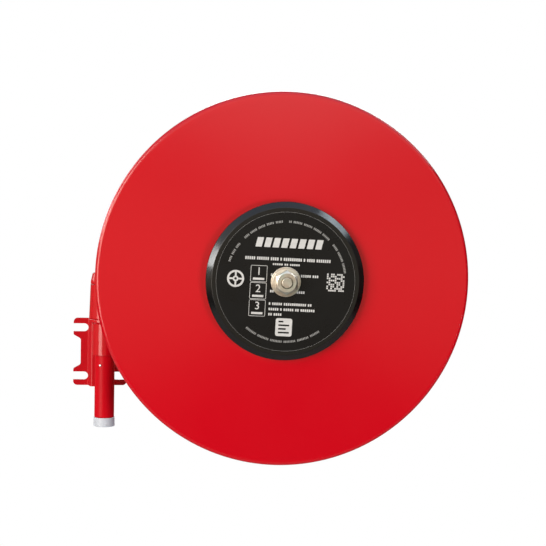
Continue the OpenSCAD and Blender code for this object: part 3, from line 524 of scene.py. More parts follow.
def softened(corners: Sequence[Corner], step: float = 15.0) -> list[Point]:
    """Rounds the corners of a closed outline.

    Args:
        corners: the two coordinates of each corner and the radius of its rounding.
        step: the widest angle between two points of an arc, in degrees.

    Returns:
        The outline's points in order.
    """
    points: list[Point] = []
    count = len(corners)
    for index, (x, y, rounding) in enumerate(corners):
        here = Vector((x, y))
        back = (Vector(corners[index - 1][:2]) - here).normalized()
        onward = (Vector(corners[(index + 1) % count][:2]) - here).normalized()
        half = math.acos(max(-1.0, min(1.0, back.dot(onward)))) / 2
        if rounding <= 0 or half > math.radians(89.5):
            points.append((x, y))
            continue
        start = here + back * (rounding / math.tan(half))
        centre = here + (back + onward).normalized() * (rounding / math.sin(half))
        leftward = onward.x * back.y - onward.y * back.x
        turn = math.copysign(math.pi - 2 * half, leftward)
        steps = max(2, math.ceil(abs(math.degrees(turn)) / step))
        for i in range(steps + 1):
            swing = Matrix.Rotation(turn * i / steps, 2)
            points.append(tuple(centre + swing @ (start - centre)))
    return points


def arc(centre: Point, radius: float, first: float, last: float, steps: int) -> list[Point]:
    """Points on an arc.

    Args:
        centre: its centre.
        radius: its radius.
        first: the angle of the first point, in degrees.
        last: the angle of the last point.
        steps: how many stretches it has.

    Returns:
        The points in order.
    """
    angles = [math.radians(first + (last - first) * i / steps) for i in range(steps + 1)]
    return [(centre[0] + radius * math.cos(a), centre[1] + radius * math.sin(a)) for a in angles]


def dome(radius: float, base: float, rise: float) -> list[Point]:
    """Points of a domed head's section, from its rim towards its middle.

    Args:
        radius: the head's radius.
        base: the height of its rim.
        rise: how far it rises above the rim, negative for downwards.

    Returns:
        The radius and height of each point.
    """
    angles = [math.radians(a) for a in (12, 30, 50, 70)]
    return [(radius * math.cos(a), base + rise * math.sin(a)) for a in angles]


# ---- Modelling --------------------------------------------------------------


def deselect() -> None:
    """Leaves edit mode with nothing selected, so an operator acts on new work only."""
    if bpy.context.mode != "OBJECT":
        bpy.ops.object.mode_set(mode="OBJECT")
    bpy.ops.object.select_all(action="DESELECT")


def pick(piece: bpy.types.Object) -> None:
    """Makes a piece the only selected one.

    Args:
        piece: the piece.
    """
    deselect()
    bpy.context.view_layer.objects.active = piece
    piece.select_set(True)


def edit(piece: bpy.types.Object) -> None:
    """Opens a piece for editing with all of it selected.

    Args:
        piece: the piece.
    """
    pick(piece)
    bpy.ops.object.mode_set(mode="EDIT")
    bpy.ops.mesh.select_all(action="SELECT")


def choose_faces(piece: bpy.types.Object, depth: float) -> None:
    """Opens a piece for editing with only its faces at a depth selected.

    Args:
        piece: the piece.
        depth: the faces' distance from the wall.
    """
    edit(piece)
    bpy.ops.mesh.select_mode(type="FACE")
    bpy.ops.mesh.select_all(action="DESELECT")
    bpy.ops.object.mode_set(mode="OBJECT")
    for face in piece.data.polygons:
        face.select = abs(face.center.y + depth * MM) < NEARLY * MM
    bpy.ops.object.mode_set(mode="EDIT")


def close_up() -> bpy.types.Object:
    """Merges doubles, turns the faces outwards and leaves edit mode.

    Returns:
        The piece that was edited.
    """
    bpy.ops.mesh.select_all(action="SELECT")
    bpy.ops.mesh.remove_doubles(threshold=SAME_PLACE)
    bpy.ops.mesh.normals_make_consistent(inside=False)
    bpy.ops.object.mode_set(mode="OBJECT")
    return bpy.context.object


def drawn(name: str, points: Sequence[Vector], closed: bool) -> bpy.types.Object:
    """Draws a line of edges and stays in edit mode with all of it selected.

    Args:
        name: the new piece's name.
        points: the places of its corners, in millimetres.
        closed: whether the line returns to its start.

    Returns:
        The new piece.
    """
    deselect()
    bpy.ops.mesh.primitive_plane_add(size=MM, location=points[0] * MM)
    piece = bpy.context.object
    piece.name = name
    piece.data.name = name
    bpy.ops.object.transform_apply(location=True, rotation=True, scale=True)
    bpy.ops.object.mode_set(mode="EDIT")
    bpy.ops.mesh.select_mode(type="VERT")
    bpy.ops.mesh.select_all(action="SELECT")
    bpy.ops.mesh.merge(type="CENTER")
    route = [*points, points[0]] if closed else list(points)
    for here, there in zip(route, route[1:]):
        bpy.ops.mesh.extrude_region_move(TRANSFORM_OT_translate={"value": (there - here) * MM})
    bpy.ops.mesh.select_all(action="SELECT")
    bpy.ops.mesh.remove_doubles(threshold=SAME_PLACE)
    return piece


def spun(name: str, axis: Axis, section: Sequence[Point], steps: int = 96) -> bpy.types.Object:
    """Turns a section about an axis, as on a lathe.

    Args:
        name: the new piece's name.
        axis: the line it is turned about.
        section: radius and height of each point. A section that starts on the line
            ends on it too.
        steps: facets of a full turn.

    Returns:
        The closed solid.
    """
    on_line = section[0][0] < SAME_PLACE
    drawn(name, [axis.at(*point) for point in section], closed=not on_line)
    bpy.ops.mesh.select_all(action="SELECT")
    bpy.ops.mesh.spin(steps=steps, angle=FULL_TURN, center=axis.origin * MM, axis=axis.ahead)
    return close_up()


def rod(name: str, axis: Axis, radius: float, low: float, high: float, steps: int = 64) -> bpy.types.Object:
    """A plain round bar, to cut or join with."""
    return spun(name, axis, [(0.0, low), (radius, low), (radius, high), (0.0, high)], steps)


def prism(name: str, outline: Sequence[Vector], lift: Vector) -> bpy.types.Object:
    """Draws a closed outline, fills it and extrudes it.

    Args:
        name: the new piece's name.
        outline: its corners, in millimetres.
        lift: the direction and length of the extrusion, in millimetres.

    Returns:
        The closed solid.
    """
    drawn(name, outline, closed=True)
    bpy.ops.mesh.edge_face_add()
    bpy.ops.mesh.extrude_region_move(TRANSFORM_OT_translate={"value": lift * MM})
    return close_up()


def apply_modifier(piece: bpy.types.Object, kind: str, **settings: Any) -> None:
    """Adds a modifier and applies it.

    Args:
        piece: the piece that it acts on.
        kind: the modifier's type.
        settings: its properties.
    """
    pick(piece)
    modifier = piece.modifiers.new(kind.title(), kind)
    for key, value in settings.items():
        setattr(modifier, key, value)
    bpy.ops.object.modifier_apply(modifier=modifier.name)


def combine(piece: bpy.types.Object, operation: str, *others: bpy.types.Object) -> bpy.types.Object:
    """Cuts, joins or keeps the common part of solids.

    Args:
        piece: the solid that stays.
        operation: DIFFERENCE, UNION or INTERSECT.
        others: the solids that act on it, which are used up.

    Returns:
        The piece.
    """
    for other in others:
        apply_modifier(piece, "BOOLEAN", operation=operation, object=other, solver="EXACT")
        bpy.data.objects.remove(other)
    edit(piece)
    return close_up()


def smooth(piece: bpy.types.Object, angle: float = 32.0) -> bpy.types.Object:
    """Smooths the shading, with large faces kept flat.

    Args:
        piece: the piece.
        angle: the sharpest edge that is smoothed, in degrees.

    Returns:
        The piece.
    """
    pick(piece)
    bpy.ops.object.shade_smooth_by_angle(angle=math.radians(angle))
    apply_modifier(piece, "WEIGHTED_NORMAL", keep_sharp=True, weight=60)
    return piece


def eased(piece: bpy.types.Object, width: float, segments: int = 2, angle: float = 32.0) -> bpy.types.Object:
    """Eases a solid's sharp edges.

    Args:
        piece: the solid.
        width: how far the easing reaches, in millimetres.
        segments: facets across it.
        angle: the bluntest edge that is eased, in degrees.

    Returns:
        The piece.
    """
    apply_modifier(
        piece, "BEVEL", width=width * MM, segments=segments,
        limit_method="ANGLE", angle_limit=math.radians(angle), use_clamp_overlap=True,
    )
    return piece


def joined(name: str, pieces: Sequence[bpy.types.Object]) -> bpy.types.Object:
    """Gathers separate solids in one piece.

    Args:
        name: the piece's name.
        pieces: the solids, which are used up.

    Returns:
        The piece.
    """
    pick(pieces[0])
    for piece in pieces:
        piece.select_set(True)
    bpy.ops.object.join()
    pieces[0].name = name
    pieces[0].data.name = name
    return pieces[0]


def moved_copy(piece: bpy.types.Object, name: str, move: Matrix) -> bpy.types.Object:
    """Copies a piece with its own mesh and moves the copy.

    Args:
        piece: the piece that is copied.
        name: the copy's name.
        move: how the copy is moved, in metres.

    Returns:
        The copy.
    """
    pick(piece)
    bpy.ops.object.duplicate(linked=False)
    twin = bpy.context.object
    twin.name = name
    twin.data.name = name
    twin.matrix_world = move
    bpy.ops.object.transform_apply(location=True, rotation=True, scale=True)
    return twin


def hexagon(
    name: str,
    axis: Axis,
    flats: float,
    low: float,
    high: float,
    chamfered: Point = (0.0, 1.0),
    turn: float = 0.0,
    end_face: float = 0.96,
    slope: float = 30.0,
) -> bpy.types.Object:
    """Hexagon bar whose corners are turned off at its ends.

    Args:
        name: the new piece's name.
        axis: the line it lies along.
        flats: width across the flats.
        low: where it starts.
        high: where it ends.
        chamfered: how much of the usual chamfer each end has.
        turn: angle of a corner from the axis' out direction.
        end_face: diameter of a chamfered end's flat circle, as a share of the flats.
        slope: degrees between the chamfer and the end's face.

    Returns:
        The solid.
    """
    corner = flats / math.sqrt(3)
    bar = prism(
        name,
        [axis.at(corner, low, turn + 60 * i) for i in range(6)],
        axis.ahead * (high - low),
    )
    rim = flats / 2 * end_face
    fall = (corner + CUT - rim) * math.tan(math.radians(slope))
    foot, head = low - CUT * (1 - chamfered[0]), high + CUT * (1 - chamfered[1])
    barrel = [
        (0.0, foot), (rim, foot), (corner + CUT, foot + fall * chamfered[0]),
        (corner + CUT, head - fall * chamfered[1]), (rim, head), (0.0, head),
    ]
    combine(bar, "INTERSECT", spun("turning", axis, barrel, 96))
    return eased(bar, 0.25, 1, 24)


def threaded(
    name: str, axis: Axis, crest: float, depth: float, pitch: float, low: float, high: float, steps: int
) -> bpy.types.Object:
    """A helical thread on a solid rod, cut square at both ends.

    Args:
        name: the new piece's name.
        axis: the line it lies along.
        crest: radius over the crests.
        depth: depth of the thread.
        pitch: height of one turn.
        low: where the rod starts.
        high: where it ends.
        steps: facets of a full turn.

    Returns:
        The closed solid.
    """
    level = Axis(Vector((0.0, 0.0, 0.0)), UP, RIGHT)
    root = crest - depth
    start = -2 * pitch
    tooth = [(root, 0.0), (crest, 0.38 * pitch), (crest, 0.5 * pitch), (root, 0.88 * pitch), (root, pitch)]
    piece = drawn(name, [level.at(r, start + h) for r, h in tooth], closed=False)
    bpy.ops.object.mode_set(mode="OBJECT")
    turns = math.ceil((high - low) / pitch) + 3
    apply_modifier(
        piece, "SCREW", axis="Z", steps=steps, render_steps=steps,
        screw_offset=pitch * MM, iterations=turns, use_merge_vertices=True,
    )
    edit(piece)
    bpy.ops.mesh.remove_doubles(threshold=SAME_PLACE)
    for height, outward in ((0.0, -1.0), (high - low, 1.0)):
        bpy.ops.mesh.select_all(action="SELECT")
        bpy.ops.mesh.bisect(
            plane_co=(0.0, 0.0, height * MM), plane_no=(0.0, 0.0, outward), use_fill=True, clear_outer=True
        )
    close_up()
    turn = Matrix((axis.out, axis.side, axis.ahead)).transposed().to_4x4()
    piece.matrix_world = Matrix.Translation(axis.at(0.0, low) * MM) @ turn
    pick(piece)
    bpy.ops.object.transform_apply(location=True, rotation=True, scale=True)
    edit(piece)
    return close_up()


def tube_along(
    name: str,
    path: Sequence[Vector],
    radius: float,
    facets: int,
    swell: Callable[[int], float] | None = None,
) -> bpy.types.Object:
    """Sweeps a round tube with closed ends along a path.

    Args:
        name: the new piece's name.
        path: the places of its middle line, in millimetres.
        radius: its radius.
        facets: points per quarter of its section.
        swell: a factor on the radius at each point of the path.

    Returns:
        The tube as a mesh.
    """
    deselect()
    line = bpy.data.curves.new(name, "CURVE")
    line.dimensions = "3D"
    line.bevel_depth = radius * MM
    line.bevel_resolution = facets
    line.use_fill_caps = True
    strand = line.splines.new("POLY")
    strand.points.add(len(path) - 1)
    for index, (point, place) in enumerate(zip(strand.points, path)):
        point.co = (*(place * MM), 1.0)
        point.radius = swell(index) if swell else 1.0
    piece = bpy.data.objects.new(name, line)
    bpy.context.scene.collection.objects.link(piece)
    pick(piece)
    bpy.ops.object.convert(target="MESH")
    edit(piece)
    return close_up()


def weld(name: str, path: Sequence[Vector], radius: float = 2.0, pace: float = 1.1) -> bpy.types.Object:
    """A weld bead with its ripples, laid along a path.

    Args:
        name: the new piece's name.
        path: where it runs, in millimetres.
        radius: the bead's radius.
        pace: distance between neighbouring points of the bead.

    Returns:
        The bead.
    """
    fine: list[Vector] = []
    for here, there in zip(path, path[1:]):
        count = max(1, round((there - here).length / pace))
        fine += [here.lerp(there, i / count) for i in range(count)]
    fine.append(path[-1])
    last = len(fine) - 1

    def ripple(index: int) -> float:
        """Swells every third point and tapers both ends."""
        taper = min(1.0, 0.55 + 0.2 * min(index, last - index))
        return taper * (1.0 if index % 3 else 0.82)

    return smooth(tube_along(name, fine, radius, 3, ripple), 60)


def place(
    piece: bpy.types.Object, body: Body, slot: Slot, finish: bpy.types.Material, *nodes: str
) -> bpy.types.Object:
    """Dresses a finished piece and lets it ride.

    Args:
        piece: the piece.
        body: the body it moves with.
        slot: the slot its finish belongs to; not used.
        finish: its material.
        nodes: the CAD nodes it stands for.

    Returns:
        The piece.
    """
    piece.data.materials.clear()
    piece.data.materials.append(finish)
    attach(piece, body.value)
    if nodes:
        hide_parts(*nodes)
    LOG.info("%s: %d faces", piece.name, len(piece.data.polygons))
    return piece


def dress(finish: bpy.types.Material, *nodes: str) -> None:
    """Gives CAD nodes that stay a material.

    Args:
        finish: the material.
        nodes: the nodes.
    """
    for name in nodes:
        mesh = frame["nodes"][name].data
        mesh.materials.clear()
        mesh.materials.append(finish)
        LOG.info("%s keeps its solid", name)


def ring_of(piece: bpy.types.Object, name: str, axis: Axis, count: int) -> list[bpy.types.Object]:
    """Repeats a piece round an axis.

    Args:
        piece: the first of them.
        name: what they are called, with a number behind it.
        axis: the line that they stand round.
        count: how many there are.

    Returns:
        The pieces in order.
    """
    piece.name = f"{name}_1"
    rest = [moved_copy(piece, f"{name}_{i + 1}", axis.turning(360 / count * i)) for i in range(1, count)]
    return [piece, *rest]


# ---- Wall bracket and pivot ---------------------------------------------------


@dataclass
class WallMount:
    """The bracket on the wall with the inlet pipe that the arm turns on."""

    finishes: Finishes
    plate_t: float = 4.0
    waist_w: float = 67.0
    hat_w: float = 32.0
    hat_lean: float = 4.0
    slot_w: float = 14.0
    slot_pitch_z: float = 84.0
    slot_end: float = 27.5
    ear_r: float = 7.0
    ear_drop: float = 5.5
    ear_foot: float = 12.5
    sleeve_r: float = 21.2
    pipe_r: float = 16.85
    pipe_bore: float = 13.65
    thread_r: float = 16.2
    thread_len: float = 14.0
    thread_pitch: float = 2.31
    thread_depth: float = 1.25
    collar_room: float = 0.8
    drain_z: float = -17.0
    drain_turn: float = -25.0

    def build(self) -> None:
        """Models the bracket, the sleeve, the pipe and what is on it."""
        self.bracket()
        self.sleeve()
        self.pipe()
        self.collar()
        self.drain()
        self.cap()
        dress(self.finishes.spring_steel, "pivot_circlip")

    def bracket(self) -> None:
        """The pressed plate with its raised middle and open bolt slots."""
        low, high = heights("wall_bracket")
        half_w, half_h = outer_r("wall_bracket"), (high - low) / 2
        front = depths("wall_bracket")[1]
        top, foot = self.hat_w / 2, self.hat_w / 2 + self.hat_lean
        inset = self.plate_t * 0.8
        back = front - self.plate_t
        bend = 5.0
        tight = 2.0
        section = softened([
            (-half_w, 0, 0), (inset - foot, 0, bend), (inset - top, back, tight), (top - inset, back, tight),
            (foot - inset, 0, bend), (half_w, 0, 0), (half_w, self.plate_t, 0), (foot, self.plate_t, tight),
            (top, front, bend), (-top, front, bend), (-foot, self.plate_t, tight), (-half_w, self.plate_t, 0),
        ])
        piece = prism("wall_plate", [Vector((x, -d, low)) for x, d in section], UP * (high - low))
        waist = self.waist_w / 2
        lip_z = self.slot_pitch_z / 2 - self.slot_w / 2
        quarter = [
            (half_w, half_h, self.ear_r),
            (half_w, lip_z - self.ear_drop, 3.0),
            (waist, lip_z - self.ear_foot, 5.0),
        ]
        outline = (
            quarter
            + [(x, -z, r) for x, z, r in reversed(quarter)]
            + [(-x, -z, r) for x, z, r in quarter]
            + [(-x, z, r) for x, z, r in reversed(quarter)]
        )
        through = FORWARD * (front + 2 * CUT)
        blank = prism("blank", [Vector((x, CUT, z)) for x, z in softened(outline)], through)
        combine(piece, "INTERSECT", blank)
        half = self.slot_w / 2
        near, far, round_end = self.slot_end - half, half_w + CUT, half - 0.01
        for side in (-1, 1):
            for level in (-1, 1):
                z = level * self.slot_pitch_z / 2
                slot = softened([
                    (side * near, z - half, round_end), (side * far, z - half, 0),
                    (side * far, z + half, 0), (side * near, z + half, round_end),
                ])
                combine(piece, "DIFFERENCE", prism("slot", [Vector((x, CUT, h)) for x, h in slot], through))
        notch_r = outer_r("thrust_collar") + self.collar_room
        notch_z = heights("thrust_collar")[0] - self.collar_room
        combine(piece, "DIFFERENCE", rod("notch", PIVOT, notch_r, notch_z, high + CUT, 96))
        eased(piece, 0.7, 3)
        # Its paint is darker than the disc's red: painted shade.
        place(smooth(piece), Body.BRACKET, Slot.RED_PAINT, self.finishes.bracket_shaded_paint, "wall_bracket")

    def sleeve(self) -> None:
        """The tube on the bracket and the two beads that hold it there."""
        low, high = heights("pivot_sleeve")
        bore = self.pipe_r + 0.1
        section = softened([
            (bore, low, 0.5), (self.sleeve_r, low, 0.7), (self.sleeve_r, high, 0.7), (bore, high, 0.5),
        ])
        piece = smooth(spun("pivot_tube", PIVOT, section, 128))
        place(piece, Body.BRACKET, Slot.RED_PAINT, self.finishes.red_paint, "pivot_sleeve")
        bead_r = 2.0
        aside = 6.2
        near = PIVOT_DEPTH - self.sleeve_r + bead_r * 0.35
        margin = (high - low) * 0.05
        for name, side in (("left", -1), ("right", 1)):
            ends = [Vector((PIVOT.origin.x + side * aside, -near, z)) for z in (low + margin, high - margin)]
            bead = weld(f"sleeve_weld_{name}", ends, bead_r)
            place(bead, Body.BRACKET, Slot.RED_PAINT, self.finishes.red_paint)

    def pipe(self) -> None:
        """The inlet pipe with the thread at its foot."""
        low, high = heights("inlet_pipe")
        shoulder = low + self.thread_len
        section = softened([
            (0.0, shoulder - 0.01, 0), (self.thread_r, shoulder - 0.01, 0),
            (self.pipe_r, shoulder + 1.2, 0.8), (self.pipe_r, high, 0.8), (0.0, high, 0),
        ])
        piece = spun("inlet_tube", PIVOT, section, 128)
        thread = threaded(
            "pipe_thread", PIVOT, self.thread_r, self.thread_depth, self.thread_pitch,
            low, shoulder + 0.4, 96,
        )
        combine(piece, "UNION", thread)
        combine(piece, "DIFFERENCE", rod("bore", PIVOT, self.pipe_bore, low - CUT, high + CUT, 96))
        place(smooth(piece, 28), Body.BRACKET, Slot.RED_PAINT, self.finishes.pipe_paint, "inlet_pipe")

    def collar(self) -> None:
        """The bevelled ring that carries the arm."""
        low, high = heights("thrust_collar")
        outer = outer_r("thrust_collar")
        bore = self.pipe_r + 0.1
        section = softened([
            (bore, low, 0), (self.sleeve_r + 0.6, low, 0.3), (outer, low + 3, 0.8), (outer, high, 0.9),
            (bore, high, 0),
        ])
        piece = smooth(spun("thrust_ring", PIVOT, section, 128))
        place(piece, Body.BRACKET, Slot.RED_PAINT, self.finishes.red_paint, "thrust_collar")

    def drain(self) -> None:
        """The slotted drain screw in the pipe."""
        outwards = PIVOT.direction(self.drain_turn)
        seat = Axis(PIVOT.at(self.pipe_r, self.drain_z, self.drain_turn), outwards, UP)
        head_r, head_h, proud = 2.25, 1.8, 0.2
        shank_r, shank_len = 1.5, 3.0
        section = [
            (0.0, -shank_len), (shank_r, -shank_len), (shank_r, proud), (head_r, proud),
            *dome(head_r, proud, head_h), (0.0, proud + head_h),
        ]
        piece = spun("drain_plug", seat, section, 48)
        slot_half, slot_floor, reach = 0.35, 1.2, head_r + CUT
        corners = [(-slot_half, -reach), (slot_half, -reach), (slot_half, reach), (-slot_half, reach)]
        groove = prism(
            "groove",
            [seat.origin + seat.out * x + seat.side * y + seat.ahead * slot_floor for x, y in corners],
            seat.ahead * (head_h + CUT),
        )
        combine(piece, "DIFFERENCE", groove)
        smooth(eased(piece, 0.12, 1))
        place(piece, Body.BRACKET, Slot.BRIGHT_ZINC, self.finishes.bright_zinc, "drain_screw")

    def cap(self) -> None:
        """The white push-on cap, a little flared at its foot."""
        low, high = heights("inlet_cap")
        flare_r = outer_r("inlet_cap")
        outer = flare_r - 0.3
        inner = self.thread_r + 0.3
        floor = low + 1.5
        section = softened([
            (0.0, low, 0), (flare_r - 0.2, low, 1.0), (flare_r, low + 1.4, 0.6), (outer, low + 8, 4.0),
            (outer, high, 0.6), (inner, high, 0.4), (inner, floor, 0.6), (0.0, floor, 0),
        ])
        piece = smooth(spun("transit_cap", PIVOT, section, 128))
        place(piece, Body.PLUG, Slot.WHITE_PLASTIC, self.finishes.cap_white, "inlet_cap")


# ---- Swing arm ----------------------------------------------------------------


@dataclass
class SwingArm:
    """The housing on the pivot, the channel and the water way out to the axle."""

    finishes: Finishes
    foot_r: float = 27.4
    top_r: float = 25.4
    cap_top_r: float = 22.1
    cap_side: float = 4.4
    slit: float = 0.9
    plug: float = 6.0
    housing_bore: float = 20.1
    outlet_rise: float = 34.7
    wall: float = 4.0
    half_pivot: float = 24.0
    half_axle: float = 52.0
    pipe_r: float = 13.45
    boss_r: float = 15.95
    boss_len: float = 3.0
    spigot_len: float = 8.0
    water_bore: float = 19.0
    nut_flats: float = 31.0
    nut_len: float = 20.0
    flange_r: float = 44.0
    flange_t: float = 6.0
    flange_bolt_r: float = 34.0
    axle_r: float = 16.0
    line: Axis = field(init=False)
    length: float = field(init=False)
    tilt: float = field(init=False)
    low_z: float = field(init=False)
    high_z: float = field(init=False)

    def __post_init__(self) -> None:
        """Works out the water pipe's line from the frame."""
        self.low_z, self.high_z = heights("swivel_housing")
        start = Vector((PIVOT.origin.x, -PIVOT_DEPTH, self.low_z + self.outlet_rise))
        end = Vector((AXLE.origin.x, -PIVOT_DEPTH, AXLE.origin.z))
        self.length = (end - start).length
        ahead = (end - start).normalized()
        self.tilt = math.degrees(math.atan2(ahead.z, ahead.x))
        self.line = Axis(start, ahead, FORWARD)

    @property
    def boss_end(self) -> float:
        """Where the housing's boss ends along the water pipe's line."""
        return self.foot_r + self.boss_len

    @property
    def port_start(self) -> float:
        """Where the elbow's port begins along the water pipe's line."""
        return self.length - self.flange_r - 1

    def housing_r(self, z: float) -> float:
        """Outside radius of the housing at a height."""
        share = (z - self.low_z) / (self.high_z - self.low_z)
        return self.foot_r + (self.top_r - self.foot_r) * share

    def build(self) -> None:
        """Models the arm's pieces from the pivot out to the front nut."""
        self.housing()
        self.housing_cap()
        self.channel()
        self.water_pipe()
        self.union_nuts()
        self.elbow()
        self.flange_bolts()
        self.axle()
        self.front_washer()
        self.front_nut()
        dress(self.finishes.bronze, "lower_pivot_bush", "upper_pivot_bush")
        dress(self.finishes.seal_rubber, "pivot_seal")

    def housing(self) -> None:
        """The tapered housing with the boss and spigot of the water pipe."""
        low, high = self.low_z, self.high_z
        section = softened([
            (self.housing_bore, low, 0.5), (self.foot_r, low, 0.8), (self.top_r, high, 0.7),
            (self.housing_bore, high, 0.4),
        ])
        piece = spun("swivel_body", PIVOT, section, 160)
        root, tip, chamfer = self.housing_bore + 1, self.boss_end + self.spigot_len, 0.8
        boss = spun(
            "boss", self.line,
            [(0.0, root), (self.boss_r, root), (self.boss_r, self.boss_end - chamfer),
             (self.boss_r - chamfer, self.boss_end), (self.pipe_r, self.boss_end),
             (self.pipe_r, tip), (0.0, tip)],
        )
        combine(piece, "UNION", boss)
        combine(piece, "DIFFERENCE", rod("way", self.line, self.water_bore / 2, 0, tip + CUT))
        place(smooth(piece), Body.ARM, Slot.RED_PAINT, self.finishes.red_paint, "swivel_housing")
        ring = []
        steps = 48
        for i in range(steps + 1):
            around = self.line.direction(360 / steps * i) * (self.boss_r + 0.3)
            z = self.line.origin.z + around.z
            reach = math.sqrt(max(0.0, self.housing_r(z) ** 2 - around.y ** 2))
            along = (reach - around.x) / self.line.ahead.x
            ring.append(self.line.origin + around + self.line.ahead * along)
        bead = weld("boss_weld", ring, 1.5)
        place(bead, Body.ARM, Slot.RED_PAINT, self.finishes.red_paint)

    def housing_cap(self) -> None:
        """The tapered cap over the thin slit."""
        foot = self.high_z + self.slit
        top = heights("housing_cap")[1]
        plug_r = self.housing_bore - 0.1
        section = softened([
            (0.0, self.high_z - self.plug, 0), (plug_r, self.high_z - self.plug, 0.6), (plug_r, foot, 0),
            (self.top_r, foot, 0.5), (self.top_r - 0.3, foot + self.cap_side, 1.6),
            (self.cap_top_r, top, 0.9), (0.0, top, 0),
        ])
        piece = smooth(spun("pivot_cap", PIVOT, section, 160), 24)
        place(piece, Body.ARM, Slot.RED_PAINT, self.finishes.red_paint, "housing_cap")

    def on_arm(self, x: float, y: float, depth: float) -> Vector:
        """A place on the arm.

        Args:
            x: its distance along the arm from the pivot.
            y: its rise above the water pipe's line.
            depth: its distance from the wall.

        Returns:
            The place.
        """
        turn = math.radians(self.tilt)
        return Vector((
            PIVOT.origin.x + x * math.cos(turn) - y * math.sin(turn), -depth,
            self.line.origin.z + x * math.sin(turn) + y * math.cos(turn),
        ))

    def arm_edge(self, x: float) -> float:
        """Half the arm's height at a distance along it, short of its round end."""
        lean = math.asin((self.half_axle - self.half_pivot) / self.length)
        return self.half_pivot / math.cos(lean) + x * math.tan(lean)

    def channel(self) -> None:
        """The pressed channel that joins the housing to the axle, with its welds."""
        back, front = depths("arm_channel")
        spread = math.degrees(math.acos((self.half_pivot - self.half_axle) / self.length))
        near_foot, near_top = arc((0.0, 0.0), self.half_pivot, -spread, spread, 1)
        outline = [near_foot, *arc((self.length, 0.0), self.half_axle, -spread, spread, 48), near_top]
        piece = prism(
            "arm_pressing", [self.on_arm(x, y, front) for x, y in outline], FORWARD * (back - front)
        )
        self.hollow_out(piece, back, front)
        housing = spun(
            "housing", PIVOT,
            [(0.0, self.low_z - 2 * self.half_pivot), (self.foot_r, self.low_z - 2 * self.half_pivot),
             (self.foot_r, self.low_z), (self.top_r, self.high_z), (self.top_r + 0.5, self.high_z),
             (self.top_r + 0.5, self.high_z + 2 * self.half_pivot), (0.0, self.high_z + 2 * self.half_pivot)],
            160,
        )
        combine(piece, "DIFFERENCE", housing)
        near = [(-40, -60), (self.top_r / 2, -60), (self.top_r / 2, 60), (-40, 60)]
        combine(
            piece, "DIFFERENCE",
            prism("near_end", [self.on_arm(x, y, 0.0) for x, y in near], FORWARD * (2 * PIVOT_DEPTH)),
        )
        smooth(eased(piece, 0.6, 2, 40))
        place(piece, Body.ARM, Slot.RED_PAINT, self.finishes.red_shade, "arm_channel")
        self.channel_welds(back, front)

    def hollow_out(self, piece: bpy.types.Object, back: float, front: float) -> None:
        """Rounds the web's bend and presses the channel hollow from the back.

        Args:
            piece: the solid channel.
            back: depth of its open side.
            front: depth of its web's outside.
        """
        outer_bend = 5.0
        inner_bend = 1.6
        choose_faces(piece, front)
        bpy.ops.mesh.region_to_loop()
        bpy.ops.mesh.bevel(offset=outer_bend * MM, segments=4, affect="EDGES")
        choose_faces(piece, back)
        bpy.ops.mesh.inset(thickness=self.wall * MM)
        press = front - back - self.wall - inner_bend
        bpy.ops.mesh.extrude_region_move(TRANSFORM_OT_translate={"value": FORWARD * press * MM})
        for inwards, onwards in ((0.3, 0.7), (0.7, 0.3)):
            bpy.ops.mesh.inset(thickness=inner_bend * inwards * MM)
            bpy.ops.transform.translate(value=FORWARD * inner_bend * onwards * MM)
        bpy.ops.mesh.select_mode(type="VERT")
        close_up()

    def channel_welds(self, back: float, front: float) -> None:
        """One bead along each flange and the web where they meet the housing.

        Args:
            back: depth of the channel's open side.
            front: depth of its web's outside.
        """
        steps = 14
        proud = 0.4
        top: list[Vector] = []
        foot: list[Vector] = []
        for i in range(steps + 1):
            depth = back + (front - back) * i / steps
            offset = depth - PIVOT_DEPTH
            for side, path in ((1, top), (-1, foot)):
                z = self.line.origin.z + side * self.half_pivot
                reach = math.sqrt(max(0.0, self.housing_r(z) ** 2 - offset ** 2)) + proud
                along = max(reach / math.cos(math.radians(self.tilt)), self.top_r / 2)
                path.append(self.on_arm(along, side * self.arm_edge(along), depth))
        bead = weld("channel_weld", top + foot[::-1], 1.7)
        place(bead, Body.ARM, Slot.RED_PAINT, self.finishes.red_shade)

    def water_pipe(self) -> None:
        """The pipe between the two union nuts."""
        start, end = self.boss_end + self.spigot_len, self.port_start - self.spigot_len
        inner = self.pipe_r - 2.6
        section = softened([
            (inner, start, 0.3), (self.pipe_r, start, 0.4), (self.pipe_r, end, 0.4), (inner, end, 0.3),
        ])
        piece = smooth(spun("water_tube", self.line, section, 96))
        place(piece, Body.ARM, Slot.RED_PAINT, self.finishes.red_shade, "water_pipe")

    def union_nuts(self) -> None:
        """The two union nuts, alike and facing each other."""
        for index, low in enumerate((self.boss_end, self.port_start - self.nut_len)):
            high = low + self.nut_len
            nut = hexagon(f"union_nut_{index + 1}", self.line, self.nut_flats, low, high, (1.0, 1.0), 90.0)
            combine(nut, "DIFFERENCE", rod("bore", self.line, self.pipe_r + 0.1, low - CUT, high + CUT, 96))
            nodes = ("union_nuts",) if index == 0 else ()
            place(smooth(nut), Body.ARM, Slot.BRASS, self.finishes.brass, *nodes)

